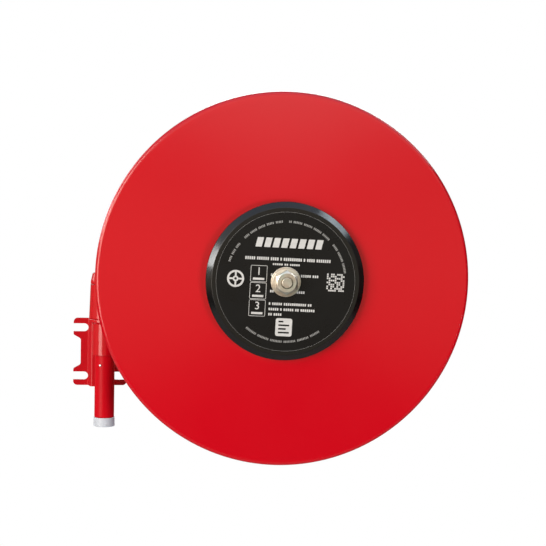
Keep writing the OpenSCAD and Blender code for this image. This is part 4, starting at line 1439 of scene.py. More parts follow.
    def elbow(self) -> None:
        """The cast elbow, its joints filled as in a mould and its faces machined."""
        body_r = self.water_bore / 2 + 8
        spigot_end = self.port_start - self.spigot_len
        back = PIVOT_DEPTH - body_r
        web = depths("axle")[0]
        end = self.length
        section = softened([(0.0, back, 0), (body_r, back, 5.0), (body_r, web, 0), (0.0, web, 0)])
        body = spun("cast_elbow", AXLE, section, 96)
        flange = rod("flange", AXLE, self.flange_r, web - self.flange_t, web, 128)
        port = rod("port", self.line, self.boss_r, self.port_start, end, 96)
        combine(body, "UNION", flange, port)
        apply_modifier(body, "REMESH", mode="VOXEL", voxel_size=1.3 * MM)
        apply_modifier(body, "SMOOTH", factor=0.5, iterations=7)
        spigot = rod("spigot", self.line, self.pipe_r, spigot_end, self.port_start + 2, 96)
        combine(body, "UNION", spigot)
        combine(
            body, "DIFFERENCE",
            rod("face", AXLE, self.flange_r + 5, web - 0.25, web + 5, 96),
            rod("way", self.line, self.water_bore / 2 - 0.75, spigot_end - CUT, end),
            rod("turn", AXLE, self.water_bore / 2, PIVOT_DEPTH - 4, web + CUT),
        )
        place(smooth(body, 40), Body.ARM, Slot.BRASS, self.finishes.cast_brass, "axle_elbow")

    def flange_bolts(self) -> None:
        """Four hexagon screws through the elbow, the web and the axle's flange."""
        first = AXLE.beside(self.flange_bolt_r, self.tilt + 45)
        low, high = depths("flange_bolts")
        flats, head_h, shank_r = 12.8, 5.2, 4.0
        seat = low + head_h
        head = hexagon("bolt", first, flats, low, seat, (1.0, 0.0))
        combine(head, "UNION", rod("shank", first, shank_r, seat - 1, high, 40))
        smooth(head)
        for index, bolt in enumerate(ring_of(head, "flange_bolt", AXLE, 4)):
            nodes = ("flange_bolts",) if index == 0 else ()
            place(bolt, Body.ARM, Slot.BRIGHT_ZINC, self.finishes.bright_zinc, *nodes)

    def axle(self) -> None:
        """The hollow axle with its flange, the thread at its front end and its plain tip."""
        back, tip = depths("axle")
        flange_back = depths("arm_channel")[1]
        flange_front = flange_back + self.flange_t
        shoulder = depths("front_washer")[0]
        thread_r, thread_depth, thread_pitch, lap = 11.0, 1.35, 2.5, 0.4
        section = softened([
            (0.0, back, 0), (self.axle_r, back, 0.3), (self.axle_r, flange_back, 0),
            (self.flange_r, flange_back, 0.5), (self.flange_r, flange_front, 0.9),
            (self.axle_r, flange_front, 0.4), (self.axle_r, shoulder, 0.6), (thread_r - 1, shoulder, 0),
            (thread_r - 1, shoulder + CUT, 0), (0.0, shoulder + CUT, 0),
        ])
        piece = spun("hollow_axle", AXLE, section, 128)
        screw = threaded(
            "axle_thread", AXLE, thread_r, thread_depth, thread_pitch, shoulder - lap, tip, 96
        )
        tip_r = 8.1
        recess = depths("front_nut")[1] - 3.2
        nose = spun(
            "nose", AXLE,
            softened([
                (0.0, shoulder - 2, 0), (thread_r + 2, shoulder - 2, 0), (thread_r + 2, recess - 1, 0),
                (tip_r, recess, 0), (tip_r, tip, 0.9), (0.0, tip, 0),
            ]), 96,
        )
        combine(screw, "INTERSECT", nose)
        combine(piece, "UNION", screw)
        bore_end = (depths("hub_barrel")[0] + depths("hub_barrel")[1]) / 2 + 10
        combine(piece, "DIFFERENCE", rod("bore", AXLE, self.water_bore / 2, back - CUT, bore_end, 96))
        place(smooth(piece, 28), Body.ARM, Slot.YELLOW_ZINC, self.finishes.yellow_zinc, "axle")

    def front_washer(self) -> None:
        """The plain washer on the hub's face."""
        low, high = depths("front_washer")
        outer, bore = outer_r("front_washer"), 11.1
        section = softened([(bore, low, 0.3), (outer, low, 0.6), (outer, high, 0.9), (bore, high, 0.4)])
        piece = smooth(spun("hub_washer", AXLE, section, 128))
        place(piece, Body.ARM, Slot.YELLOW_ZINC, self.finishes.yellow_zinc, "front_washer")

    def front_nut(self) -> None:
        """The flanged hexagon nut, with one corner upwards."""
        low, high = depths("front_nut")
        flats, end_face, slope = 34.0, 0.87, 40.0
        nut = hexagon("axle_nut", AXLE, flats, low + 0.5, high, (0.0, 1.0), 90.0, end_face, slope)
        skirt_r, skirt_top_r, skirt_edge, skirt_h = 21.8, 16.0, 2.4, 3.0
        skirt = spun(
            "skirt", AXLE,
            softened([
                (0.0, low, 0), (skirt_r, low, 0.5), (skirt_r - 0.2, low + skirt_edge, 0.8),
                (skirt_top_r, low + skirt_h, 0), (0.0, low + skirt_h, 0),
            ]),
            128,
        )
        combine(nut, "UNION", skirt)
        bore_r, mouth_r = 11.15, 9.75
        bore = spun(
            "bore", AXLE,
            [(0.0, low - CUT), (bore_r, low - CUT), (bore_r, high - 3.6), (mouth_r, high - 2.2),
             (mouth_r, high + CUT), (0.0, high + CUT)], 96,
        )
        combine(nut, "DIFFERENCE", bore)
        place(smooth(nut), Body.ARM, Slot.YELLOW_ZINC, self.finishes.yellow_zinc, "front_nut")


# ---- Drum ---------------------------------------------------------------------


@dataclass
class Drum:
    """The two pressed discs with what joins them."""

    finishes: Finishes
    sheet_t: float = 1.5
    flat_r: float = 127.0
    shoulder_r: float = 6.5
    neck_hole: float = 22.15
    flange_depth: float = 14.0
    rivet_r: float = 91.0
    rivet_count: int = 8
    bolt_r: float = 54.0
    bolt_count: int = 6

    def build(self) -> None:
        """Models the discs and their fasteners and dresses what they hide."""
        rear_back, rear_front = depths("rear_disc")
        front_back, front_front = depths("front_disc")
        self.disc("rear_pressing", rear_front, rear_back, "rear_disc")
        self.disc("front_pressing", front_back, front_front, "front_disc")
        middle = Axis(Vector((AXLE.origin.x, -(rear_back + front_front) / 2, AXLE.origin.z)), UP, RIGHT)
        self.rivets(rear_back, middle)
        self.bolts(rear_back, middle)
        dress(self.finishes.red_paint, "core_drum")
        dress(self.finishes.cast_alloy, "hub_barrel")
        dress(self.finishes.bronze, "rear_axle_bush", "front_axle_bush")
        dress(self.finishes.seal_rubber, "axle_seals")
        dress(self.finishes.cast_brass, "outlet_elbow")
        dress(self.finishes.brass, "hose_tail")
        dress(self.finishes.bright_zinc, "hose_clamp", "cover_screws")

    def disc(self, name: str, edge: float, face: float, node: str) -> None:
        """One pressed disc.

        Args:
            name: the piece's name.
            edge: depth of the turned flange's edge.
            face: depth of the flat centre's outside.
            node: the CAD node it stands for.
        """
        outer = outer_r(node)
        cone_r = outer - self.shoulder_r
        outward = 1.0 if face > edge else -1.0
        rise = abs(face - edge) - self.flange_depth
        slope = math.degrees(math.atan2(rise, cone_r - self.flat_r))
        fall = math.tan(math.radians(slope))
        bend = 4.0
        hem = 0.55
        centre = (cone_r, -self.shoulder_r)
        over = arc(centre, self.shoulder_r, 90 - slope, 0, 8)
        under = arc(centre, self.shoulder_r - self.sheet_t, 0, 90 - slope, 8)
        lip = softened([
            (outer, -self.shoulder_r - 2, 0), (outer, -self.flange_depth, hem),
            (outer - self.sheet_t, -self.flange_depth, hem), (outer - self.sheet_t, -self.shoulder_r - 2, 0),
        ])
        section = [
            (self.neck_hole, rise), (self.flat_r - 2 * bend, rise), (self.flat_r - bend, rise - 0.05),
            (self.flat_r, rise - 0.17), (self.flat_r + bend, rise - bend * fall),
            (self.flat_r + 2 * bend, rise - 2 * bend * fall), (over[0][0] - 2.0, over[0][1] + 2.0 * fall),
            *over, *lip, *under,
            (self.flat_r, rise - self.sheet_t), (self.neck_hole, rise - self.sheet_t),
        ]
        base = face - outward * rise
        piece = smooth(spun(name, AXLE, [(r, base + outward * h) for r, h in section], 256))
        place(piece, Body.DRUM, Slot.RED_PAINT, self.finishes.red_paint, node)

    def rivets(self, face: float, middle: Axis) -> None:
        """Domed rivets through both discs.

        Args:
            face: depth of the rear disc's outside.
            middle: the line that the front ones are turned about.
        """
        first = AXLE.beside(self.rivet_r, 180 / self.rivet_count)
        head_r, head_h = 4.2, 1.6
        shank_r, tail_r, grip = 2.4, 3.6, 3.5
        section = [
            (0.0, face - head_h), *reversed(dome(head_r, face, -head_h)), (head_r, face), (shank_r, face),
            (shank_r, face + grip), (tail_r, face + grip), (tail_r - 0.4, face + grip + 1.2),
            (0.0, face + grip + 1.6),
        ]
        self.both_sides(spun("rivet", first, section, 32), "rivet", self.rivet_count, middle, "core_rivets")

    def bolts(self, face: float, middle: Axis) -> None:
        """Hexagon screws through both discs into the hub.

        Args:
            face: depth of the rear disc's outside.
            middle: the line that the front ones are turned about.
        """
        first = AXLE.beside(self.bolt_r, 0)
        flats, head_h, shank_r, reach = 10.0, 3.6, 3.0, 6.5
        head = hexagon("bolt", first, flats, face - head_h, face, (1.0, 0.0))
        combine(head, "UNION", rod("shank", first, shank_r, face - 1, face + reach, 32))
        self.both_sides(head, "hub_bolt", self.bolt_count, middle, "hub_bolts")

    def both_sides(self, piece: bpy.types.Object, name: str, count: int, middle: Axis, node: str) -> None:
        """Repeats a fastener round the rear disc and, turned about, the front one.

        Args:
            piece: the first fastener.
            name: what they are called.
            count: how many each disc has.
            middle: the line that the front ones are turned about.
            node: the CAD node that they stand for.
        """
        smooth(piece)
        half_turn = middle.turning(180)
        rear = ring_of(piece, f"{name}_rear", AXLE, count)
        front = [moved_copy(one, one.name.replace("rear", "front"), half_turn) for one in rear]
        for index, one in enumerate([*rear, *front]):
            nodes = (node,) if index == 0 else ()
            place(one, Body.DRUM, Slot.BRIGHT_ZINC, self.finishes.bright_zinc, *nodes)


# ---- Hub cover and its label ----------------------------------------------------


@dataclass
class HubCover:
    """The black cover over the hub with its round label."""

    finishes: Finishes
    wall: float = 2.5
    side_h: float = 10.0
    bevel_w: float = 9.0
    hole_r: float = 22.35
    post_ring: float = 74.0
    post_r: float = 5.0
    mark_t: float = 0.12
    print_tilt: float = -2.0

    def build(self) -> None:
        """Models the cover, the label and the marks on it."""
        low, high = depths("hub_cover")
        outer = outer_r("hub_cover")
        inner_top = high - self.wall
        section = softened([
            (self.hole_r, high, 0.3), (outer - self.bevel_w, high, 0.9), (outer, low + self.side_h, 1.2),
            (outer, low, 0.5), (outer - self.wall, low, 0.4),
            (outer - self.wall, low + self.side_h - 0.8, 1.0), (outer - self.bevel_w - 1.3, inner_top, 1.0),
            (self.hole_r, inner_top, 0.3),
        ], 10.0)
        piece = spun("hub_dome", AXLE, section, 256)
        posts = [
            rod("post", AXLE.beside(self.post_ring, 30 + 120 * i), self.post_r, low, high - self.wall / 2, 32)
            for i in range(3)
        ]
        combine(piece, "UNION", *posts)
        place(smooth(piece, 25), Body.DRUM, Slot.BLACK_PLASTIC, self.finishes.hub_black, "hub_cover")
        self.label()
        self.marks()

    def label(self) -> None:
        """The thin round plate of the label."""
        low, high = depths("label_plate")
        outer = outer_r("label_plate")
        section = softened(
            [(self.hole_r, low, 0), (outer, low, 0), (outer, high, 0.2), (self.hole_r, high, 0.1)], 30.0
        )
        piece = smooth(spun("hub_label", AXLE, section, 192))
        place(piece, Body.DRUM, Slot.LABEL_FACE, self.finishes.label_film, "label_plate")

    @property
    def face(self) -> float:
        """Depth of the label's face."""
        return depths("label_plate")[1]

    def spot(self, u: float, v: float) -> Vector:
        """A place on the label's tilted print.

        Args:
            u: its distance to the right of the axle.
            v: its distance above the axle.

        Returns:
            The place.
        """
        turn = math.radians(self.print_tilt)
        return Vector((
            AXLE.origin.x + u * math.cos(turn) - v * math.sin(turn), -self.face,
            AXLE.origin.z + u * math.sin(turn) + v * math.cos(turn),
        ))

    def shape(self, outline: Iterable[Point]) -> bpy.types.Object:
        """One flat printed shape."""
        return prism("mark", [self.spot(u, v) for u, v in outline], FORWARD * self.mark_t)

    def hole(self, outline: Iterable[Point]) -> bpy.types.Object:
        """A cutter that goes right through a printed shape."""
        corners = [self.spot(u, v) - FORWARD * CUT for u, v in outline]
        return prism("hole", corners, FORWARD * (self.mark_t + 2 * CUT))

    def bar(self, u: float, v: float, width: float, height: float, rounding: float = 0.4) -> bpy.types.Object:
        """A bar.

        Args:
            u: its left edge.
            v: its lower edge.
            width: its width.
            height: its height.
            rounding: the radius of its corners, or less on a small bar.

        Returns:
            The bar.
        """
        held = min(rounding, height * 0.45, width * 0.45)
        right, top = u + width, v + height
        corners = [(u, v, held), (right, v, held), (right, top, held), (u, top, held)]
        return self.shape(softened(corners, 45.0))

    def ring(self, u: float, v: float, radius: float, line: float, steps: int = 32) -> bpy.types.Object:
        """A printed circle line.

        Args:
            u: its middle's distance to the right.
            v: its middle's distance upwards.
            radius: its outer radius.
            line: the width of its line.
            steps: facets of a full turn.

        Returns:
            The circle.
        """
        centre = Axis(self.spot(u, v), FORWARD, RIGHT)
        inner = radius - line
        section = [(inner, 0.0), (radius, 0.0), (radius, self.mark_t), (inner, self.mark_t)]
        return spun("mark", centre, section, steps)

    def frame_box(self, u: float, v: float, size: float, line: float = 0.7) -> bpy.types.Object:
        """An outlined square.

        Args:
            u: its left edge.
            v: its lower edge.
            size: its width and height.
            line: the width of its line.

        Returns:
            The square.
        """
        outer = self.bar(u, v, size, size, 1.6)
        left, low, right, top = u + line, v + line, u + size - line, v + size - line
        inner = softened([(left, low, 1.0), (right, low, 1.0), (right, top, 1.0), (left, top, 1.0)], 45.0)
        return combine(outer, "DIFFERENCE", self.hole(inner))

    def numeral(self, digit: str, u: float, v: float, height: float) -> bpy.types.Object:
        """A plain numeral.

        Args:
            digit: which one.
            u: its middle's distance to the right.
            v: its middle's distance upwards.
            height: its height.

        Returns:
            The numeral.
        """
        size_of_height = 1.4
        deselect()
        bpy.ops.object.text_add()
        piece = bpy.context.object
        piece.data.body = digit
        piece.data.align_x = "CENTER"
        piece.data.align_y = "CENTER"
        piece.data.size = height * size_of_height * MM
        piece.data.extrude = self.mark_t / 2 * MM
        bpy.ops.object.convert(target="MESH")
        turn = Matrix.Rotation(math.radians(90), 4, "X")
        tilt = Matrix.Rotation(math.radians(-self.print_tilt), 4, "Y")
        centre = Matrix.Translation((self.spot(u, v) + FORWARD * (self.mark_t / 2)) * MM)
        piece.matrix_world = centre @ tilt @ turn
        pick(piece)
        bpy.ops.object.transform_apply(location=True, rotation=True, scale=True)
        edit(piece)
        return close_up()

    def stripes(self) -> list[bpy.types.Object]:
        """The band of slanted blocks at the top.

        Returns:
            The blocks.
        """
        count, width, gap, height, lean = 8, 9.8, 3.7, 15.0, 3.2
        start, foot = -51.0, 53.5
        blocks = []
        for i in range(count):
            left = start + i * (width + gap)
            right = left + width
            top = foot + height
            blocks.append(self.shape([(left, foot), (right, foot), (right + lean, top), (left + lean, top)]))
        return blocks

    def text_rows(self) -> list[bpy.types.Object]:
        """Rows of small plain blocks that stand for lines of print.

        Returns:
            The blocks.
        """
        letter_w, letter_pitch = 2.4, 3.3
        rows = [
            (-66, 33.0, 4.8, (5, 6, 4, 1, 9, 1, 4, 7)), (-22, 25.6, 3.0, (5, 2, 5)),
            (-24, 8.2, 4.0, (1, 3, 5, 3, 5, 3)), (-24, -17.8, 4.0, (2, 4, 3, 6)),
            (-25, -37.6, 4.0, (1, 5, 11, 2)), (-25, -46.2, 4.0, (5, 1, 5, 2, 7)), (-25, -54.4, 4.0, (2, 4)),
        ]
        marks = []
        for start, level, height, words in rows:
            u = float(start)
            for letters in words:
                marks += [self.bar(u + letter_pitch * i, level, letter_w, height) for i in range(letters)]
                u += letters * letter_pitch + 2.0
        return marks

    def steps(self) -> list[bpy.types.Object]:
        """Three outlined boxes down the left, each with a numeral over a caption bar.

        Returns:
            The boxes and what is in them.
        """
        marks = []
        left, size, pitch, lowest = -56.3, 26.2, 27.2, -56.5
        digit_h, digit_rise = 12.5, 16.2
        caption_w, caption_h, caption_rise = 18.0, 3.4, 3.2
        for index in range(3):
            foot = lowest + (2 - index) * pitch
            middle = left + size / 2
            marks.append(self.frame_box(left, foot, size))
            marks.append(self.numeral(str(index + 1), middle, foot + digit_rise, digit_h))
            marks.append(self.bar(middle - caption_w / 2, foot + caption_rise, caption_w, caption_h))
        return marks

    def emblems(self) -> list[bpy.types.Object]:
        """A wheel at the left, a block of dots at the right and a plain pad below."""
        return [*self.wheel(-79.5, 1.6), *self.dots(64.9, -11.7), self.pad(-12.5, -86.5)]

    def wheel(self, u: float, v: float) -> list[bpy.types.Object]:
        """A wheel with four spokes.

        Args:
            u: its middle's distance to the right.
            v: its middle's distance upwards.

        Returns:
            Its shapes.
        """
        rim_r, rim_w, hub_r, hub_w, spoke_w, lap = 13.5, 3.2, 4.6, 2.6, 2.8, 0.2
        marks = [self.ring(u, v, rim_r, rim_w, 48), self.ring(u, v, hub_r, hub_w)]
        length = rim_r - rim_w - hub_r + 2 * lap
        for start in (hub_r - lap, lap - hub_r - length):
            marks.append(self.bar(u - spoke_w / 2, v + start, spoke_w, length))
            marks.append(self.bar(u + start, v - spoke_w / 2, length, spoke_w))
        return marks

    def dots(self, u: float, v: float) -> list[bpy.types.Object]:
        """A block of small squares with some left out in a plain rhythm.

        Args:
            u: its left edge.
            v: its lower edge.

        Returns:
            The squares.
        """
        count, pitch, size = 9, 3.2, 2.5
        return [
            self.bar(u + pitch * i, v + pitch * j, size, size, 0.1)
            for i in range(count) for j in range(count) if (i + 2 * j) % 5 and (2 * i + j) % 7 != 3
        ]

    def pad(self, u: float, v: float) -> bpy.types.Object:
        """A filled square with four bars cut out of it.

        Args:
            u: its left edge.
            v: its lower edge.

        Returns:
            The square.
        """
        width, height, margin, pitch, line = 26.3, 28.5, 4.5, 5.8, 2.6
        piece = self.bar(u, v, width, height, 3.0)
        cutters = []
        for i, share in enumerate((1.0, 0.7, 1.0, 0.45)):
            low = v + margin + i * pitch
            end = u + margin + (width - 2 * margin) * share
            corners = [(u + margin, low), (end, low), (end, low + line), (u + margin, low + line)]
            cutters.append(self.hole(corners))
        return combine(piece, "DIFFERENCE", *cutters)

    def rim_dashes(self) -> list[bpy.types.Object]:
        """Fine dashes along the label's rim, in runs like short words.

        Returns:
            The dashes.
        """
        marks = []
        radius, height, step = 93.4, 3.4, 1.45
        runs = ((11, 42, 8), (47, 91, 7), (96, 137, 6), (143, 164, 5), (232, 307, 9))
        for first, last, word in runs:
            for i in range(round((last - first) / step)):
                if i % word == word - 1:
                    continue
                start = first + i * step
                end = start + step * 0.6
                marks.append(self.shape([
                    *arc((0.0, 0.0), radius, start, end, 1), *arc((0.0, 0.0), radius + height, end, start, 1),
                ]))
        return marks

    def marks(self) -> None:
        """Prints every generic mark and the circle round them."""
        bold = joined("label_marks", [*self.stripes(), *self.text_rows(), *self.steps(), *self.emblems()])
        place(bold, Body.DRUM, Slot.LABEL_FACE, self.finishes.label_ink)
        edge = self.ring(0, 0, outer_r("label_plate") - 0.3, 0.25, 192)
        fine = joined("label_fine_marks", [edge, *self.rim_dashes()])
        place(fine, Body.DRUM, Slot.LABEL_FACE, self.finishes.label_fine_ink)


# ---- Hose and nozzle ------------------------------------------------------------


@dataclass
class Hose:
    """The hose on the drum, every layer of it wound."""

    finishes: Finishes
    hose_r: float = 13.5
    turn_gap: float = 0.9
    lift_angle: float = 165.0
    layers: int = 5
    points_per_turn: int = 72
    climb: float = 70.0
    wrap_r: float = field(init=False)
    first: float = field(init=False)
    last: float = field(init=False)
    turns: float = field(init=False)
    start_angle: float = field(init=False)

    def __post_init__(self) -> None:
        """Reads the winding's reach from the frame."""
        near, far = depths("hose_winding")
        self.wrap_r = outer_r("hose_winding") - self.hose_r
        half_section = self.hose_r * math.sin(math.radians(60))
        self.first = near + half_section
        self.last = far - half_section
        self.turns = (self.last - self.first) / (2 * self.hose_r + self.turn_gap)
        self.start_angle = self.lift_angle + 360 * self.turns

    def build(self) -> None:
        """Models the outer layer up to the nozzle, the layers under it and the inner end."""
        outer = tube_along("hose_outer_turns", self.outer_path(), self.hose_r, 5)
        place(smooth(outer, 50), Body.DRUM, Slot.HOSE_RUBBER, self.finishes.hose_rubber, "hose_winding")
        inner = tube_along("hose_inner_turns", self.inner_path(), self.hose_r, 3)
        place(smooth(inner, 50), Body.DRUM, Slot.HOSE_RUBBER, self.finishes.hose_rubber, "hose_core")
        tail = span("hose_tail", 0)[0] + 6
        level = heights("hose_tail")
        depth = sum(depths("hose_tail")) / 2
        stub = Axis(Vector((tail, -depth, sum(level) / 2)), RIGHT, UP)
        reach = AXLE.origin.x + outer_r("core_drum") - tail
        tail_r = (level[1] - level[0]) / 2 - 4.6
        section = softened([
            (tail_r, 0, 0.4), (self.hose_r, 0, 0.8), (self.hose_r, reach, 0.4), (tail_r, reach, 0.4),
        ])
        end = smooth(spun("hose_inner_end", stub, section, 48))
        place(end, Body.DRUM, Slot.HOSE_RUBBER, self.finishes.hose_rubber)

    def spot(self, radius: float, angle: float, depth: float) -> Vector:
        """A place on the winding from its radius, angle and depth."""
        return AXLE.at(radius, depth, angle)

    def step_down(self, radius: float, angle: float, share: float, depth: float) -> Vector:
        """A place on the way from one layer down to the next.

        Args:
            radius: the upper layer's radius.
            angle: where the step leaves it, in degrees.
            share: how much of the step is done, from 0 to 1.
            depth: the place's distance from the wall.

        Returns:
            The place.
        """
        return self.spot(radius - 2 * self.hose_r * ease(share), angle + self.climb * share, depth)

    def outer_path(self) -> list[Vector]:
        """Middle line of the outer layer, from the layer below up to the nozzle.

        Returns:
            Its points in order.
        """
        steps = 16
        path = [
            self.step_down(self.wrap_r, self.start_angle, i / steps, self.first)
            for i in range(steps, 0, -1)
        ]
        count = round(self.turns * self.points_per_turn)
        for i in range(count + 1):
            share = i / count
            angle = self.start_angle + (self.lift_angle - self.start_angle) * share
            path.append(self.spot(self.wrap_r, angle, self.first + (self.last - self.first) * share))
        return path + self.lift_path()

    def lift_path(self) -> list[Vector]:
        """The last stretch, which leaves the layer and straightens to the nozzle.

        Returns:
            Its points in order.
        """
        run_gap = 0.3
        ferrule = span("nozzle_ferrule", 0)[0] - AXLE.origin.x
        level = sum(heights("nozzle_ferrule")) / 2 - AXLE.origin.z
        depth = sum(depths("nozzle_ferrule")) / 2
        turn = math.radians(self.lift_angle)
        begin = Vector((math.cos(turn), math.sin(turn))) * self.wrap_r
        end = Vector((ferrule - run_gap - 2 * self.hose_r, level))
        pull = 0.38 * (end - begin).length
        near = begin + Vector((math.sin(turn), -math.cos(turn))) * pull
        far = end - Vector((pull, 0.0))
        steps = 24
        path = []
        for i in range(1, steps + 1):
            t = i / steps
            s = 1 - t
            flat = begin * s ** 3 + near * (3 * s * s * t) + far * (3 * s * t * t) + end * t ** 3
            into = self.last + (depth - self.last) * ease((t - 0.3) / 0.7)
            path.append(AXLE.origin + RIGHT * flat.x + UP * flat.y + FORWARD * into)
        path.append(AXLE.origin + RIGHT * (ferrule - run_gap) + UP * level + FORWARD * depth)
        return path

    def inner_path(self) -> list[Vector]:
        """Middle line of the layers below, from the climb down to the core.

        Returns:
            Its points in order.
        """
        margin = 2.0
        low, high = self.first + margin, self.last - margin
        angle = self.start_angle + self.climb
        path = []
        per_degree = self.points_per_turn / 360
        for layer in range(1, self.layers):
            radius = self.wrap_r - 2 * self.hose_r * layer
            begin, end = (low, high) if layer % 2 else (high, low)
            sweep = 360 * self.turns
            count = round(sweep * per_degree)
            for i in range(count + 1):
                path.append(self.spot(radius, angle + sweep * i / count, begin + (end - begin) * i / count))
            angle += sweep
            if layer < self.layers - 1:
                steps = 14
                path += [self.step_down(radius, angle, i / steps, end) for i in range(1, steps)]
                angle += self.climb
        return path


def ease(share: float) -> float:
    """A smooth step from 0 to 1."""
    held = min(1.0, max(0.0, share))
    return held * held * (3 - 2 * held)


@dataclass
class Nozzle:
    """The nozzle stowed on top of the winding."""

    finishes: Finishes
    flutes: int = 10
    way_r: float = 5.5
    spigot_r: float = 10.0
    line: Axis = field(init=False)

    def build(self) -> None:
        """Models the ferrule, the body and the turning barrel."""
        twist = joint_place("nozzle_turn")
        self.line = Axis(Vector((0.0, twist.y, twist.z)), RIGHT, UP)
        self.ferrule()
        self.body()
        self.barrel()

    def ferrule(self) -> None:
        """The brass ferrule with its swaged rings."""
        low, high = span("nozzle_ferrule", 0)
        left, right = depths("nozzle_ferrule")
        outer = (right - left) / 2
        collar, ridge, groove = outer - 1.5, outer - 0.1, outer - 1.0
        corners = [(self.way_r, low, 0), (outer - 0.2, low, 0.7)]
        pitch = 4.6
        for i in range(4):
            start = low + 2.4 + i * pitch
            corners += [(ridge, start, 0.3), (groove, start + 1.1, 0.6), (ridge, start + 2.2, 0.3)]
        corners += [
            (outer, high - 6.4, 0.5), (collar, high - 5, 0.4), (collar, high, 0.5), (self.way_r, high, 0),
        ]
        piece = smooth(spun("hose_ferrule", self.line, softened(corners), 96))
        place(piece, Body.DRUM, Slot.BRASS, self.finishes.brass, "nozzle_ferrule")

    def body(self) -> None:
        """The black body with its hexagon and collar."""
        low, high = span("nozzle_body", 0)
        barrel_low = span("nozzle_barrel", 0)[0]
        radius = 13.5
        hex_high = low + 11
        rim = barrel_low - 0.3
        piece = hexagon("nozzle_socket", self.line, 25.65, low, hex_high, (1.0, 1.0), 90.0)
        collar = spun(
            "collar", self.line,
            softened([
                (0.0, hex_high - 1.5, 0), (radius - 2.0, hex_high - 1.5, 0), (radius, hex_high + 0.8, 0.6),
                (radius, rim, 0.6), (self.spigot_r, rim, 0), (self.spigot_r, high, 0.8), (0.0, high, 0),
            ]),
            96,
        )
        combine(piece, "UNION", collar)
        combine(piece, "DIFFERENCE", rod("way", self.line, self.way_r, low - CUT, high + CUT, 48))
        place(smooth(piece), Body.DRUM, Slot.NOZZLE_BLACK, self.finishes.nozzle_black, "nozzle_body")

    def barrel(self) -> None:
        """The red barrel with its fluted grip and lipped outlet."""
        low, high = span("nozzle_barrel", 0)
        below, above = depths("nozzle_barrel")
        outer = (above - below) / 2
        grip_end = high - 22
        neck_r, lip_r = outer - 3, outer - 1
        section = softened([
            (0.0, low, 0), (outer - 0.4, low, 1.2), (outer, low + 3, 0.6), (outer, grip_end, 1.5),
            (neck_r, grip_end + 8, 3.0), (neck_r, grip_end + 14, 1.2), (lip_r, grip_end + 16, 0.8),
            (lip_r, high, 1.4), (0.0, high, 0),
        ])
        piece = spun("nozzle_grip", self.line, section, 120)
        socket_end = span("nozzle_body", 0)[1] + 0.3
        socket = rod("socket", self.line, self.spigot_r + 0.05, low - CUT, socket_end, 64)
        combine(piece, "DIFFERENCE", socket)
        jet_r, mouth_r, beyond = 4.5, 8.0, high + 0.5
        mouth = spun(
            "mouth", self.line,
            [(0.0, low + 10), (jet_r, low + 10), (jet_r, high - 3), (mouth_r, beyond), (0.0, beyond)], 64,
        )
        combine(piece, "DIFFERENCE", mouth)
        flute_r, start, end = 2.4, low + 6, grip_end - 4
        section = softened([(0.0, start, 0), (flute_r, start, 2.0), (flute_r, end, 2.0), (0.0, end, 0)])
        for i in range(self.flutes):
            flute = self.line.beside(outer + flute_r / 2, 360 / self.flutes * i)
            combine(piece, "DIFFERENCE", spun("flute", flute, section, 24))
        smooth(eased(piece, 0.25, 1, 35))
        place(piece, Body.TWIST, Slot.NOZZLE_RED, self.finishes.nozzle_red, "nozzle_barrel")


# ---- Studio ---------------------------------------------------------------------


class Lights(Enum):
    """What a lamp does to the surfaces that it reaches."""

    ALL = "shading and gloss"
    SHADING = "shading only"
    GLOSS = "gloss only"


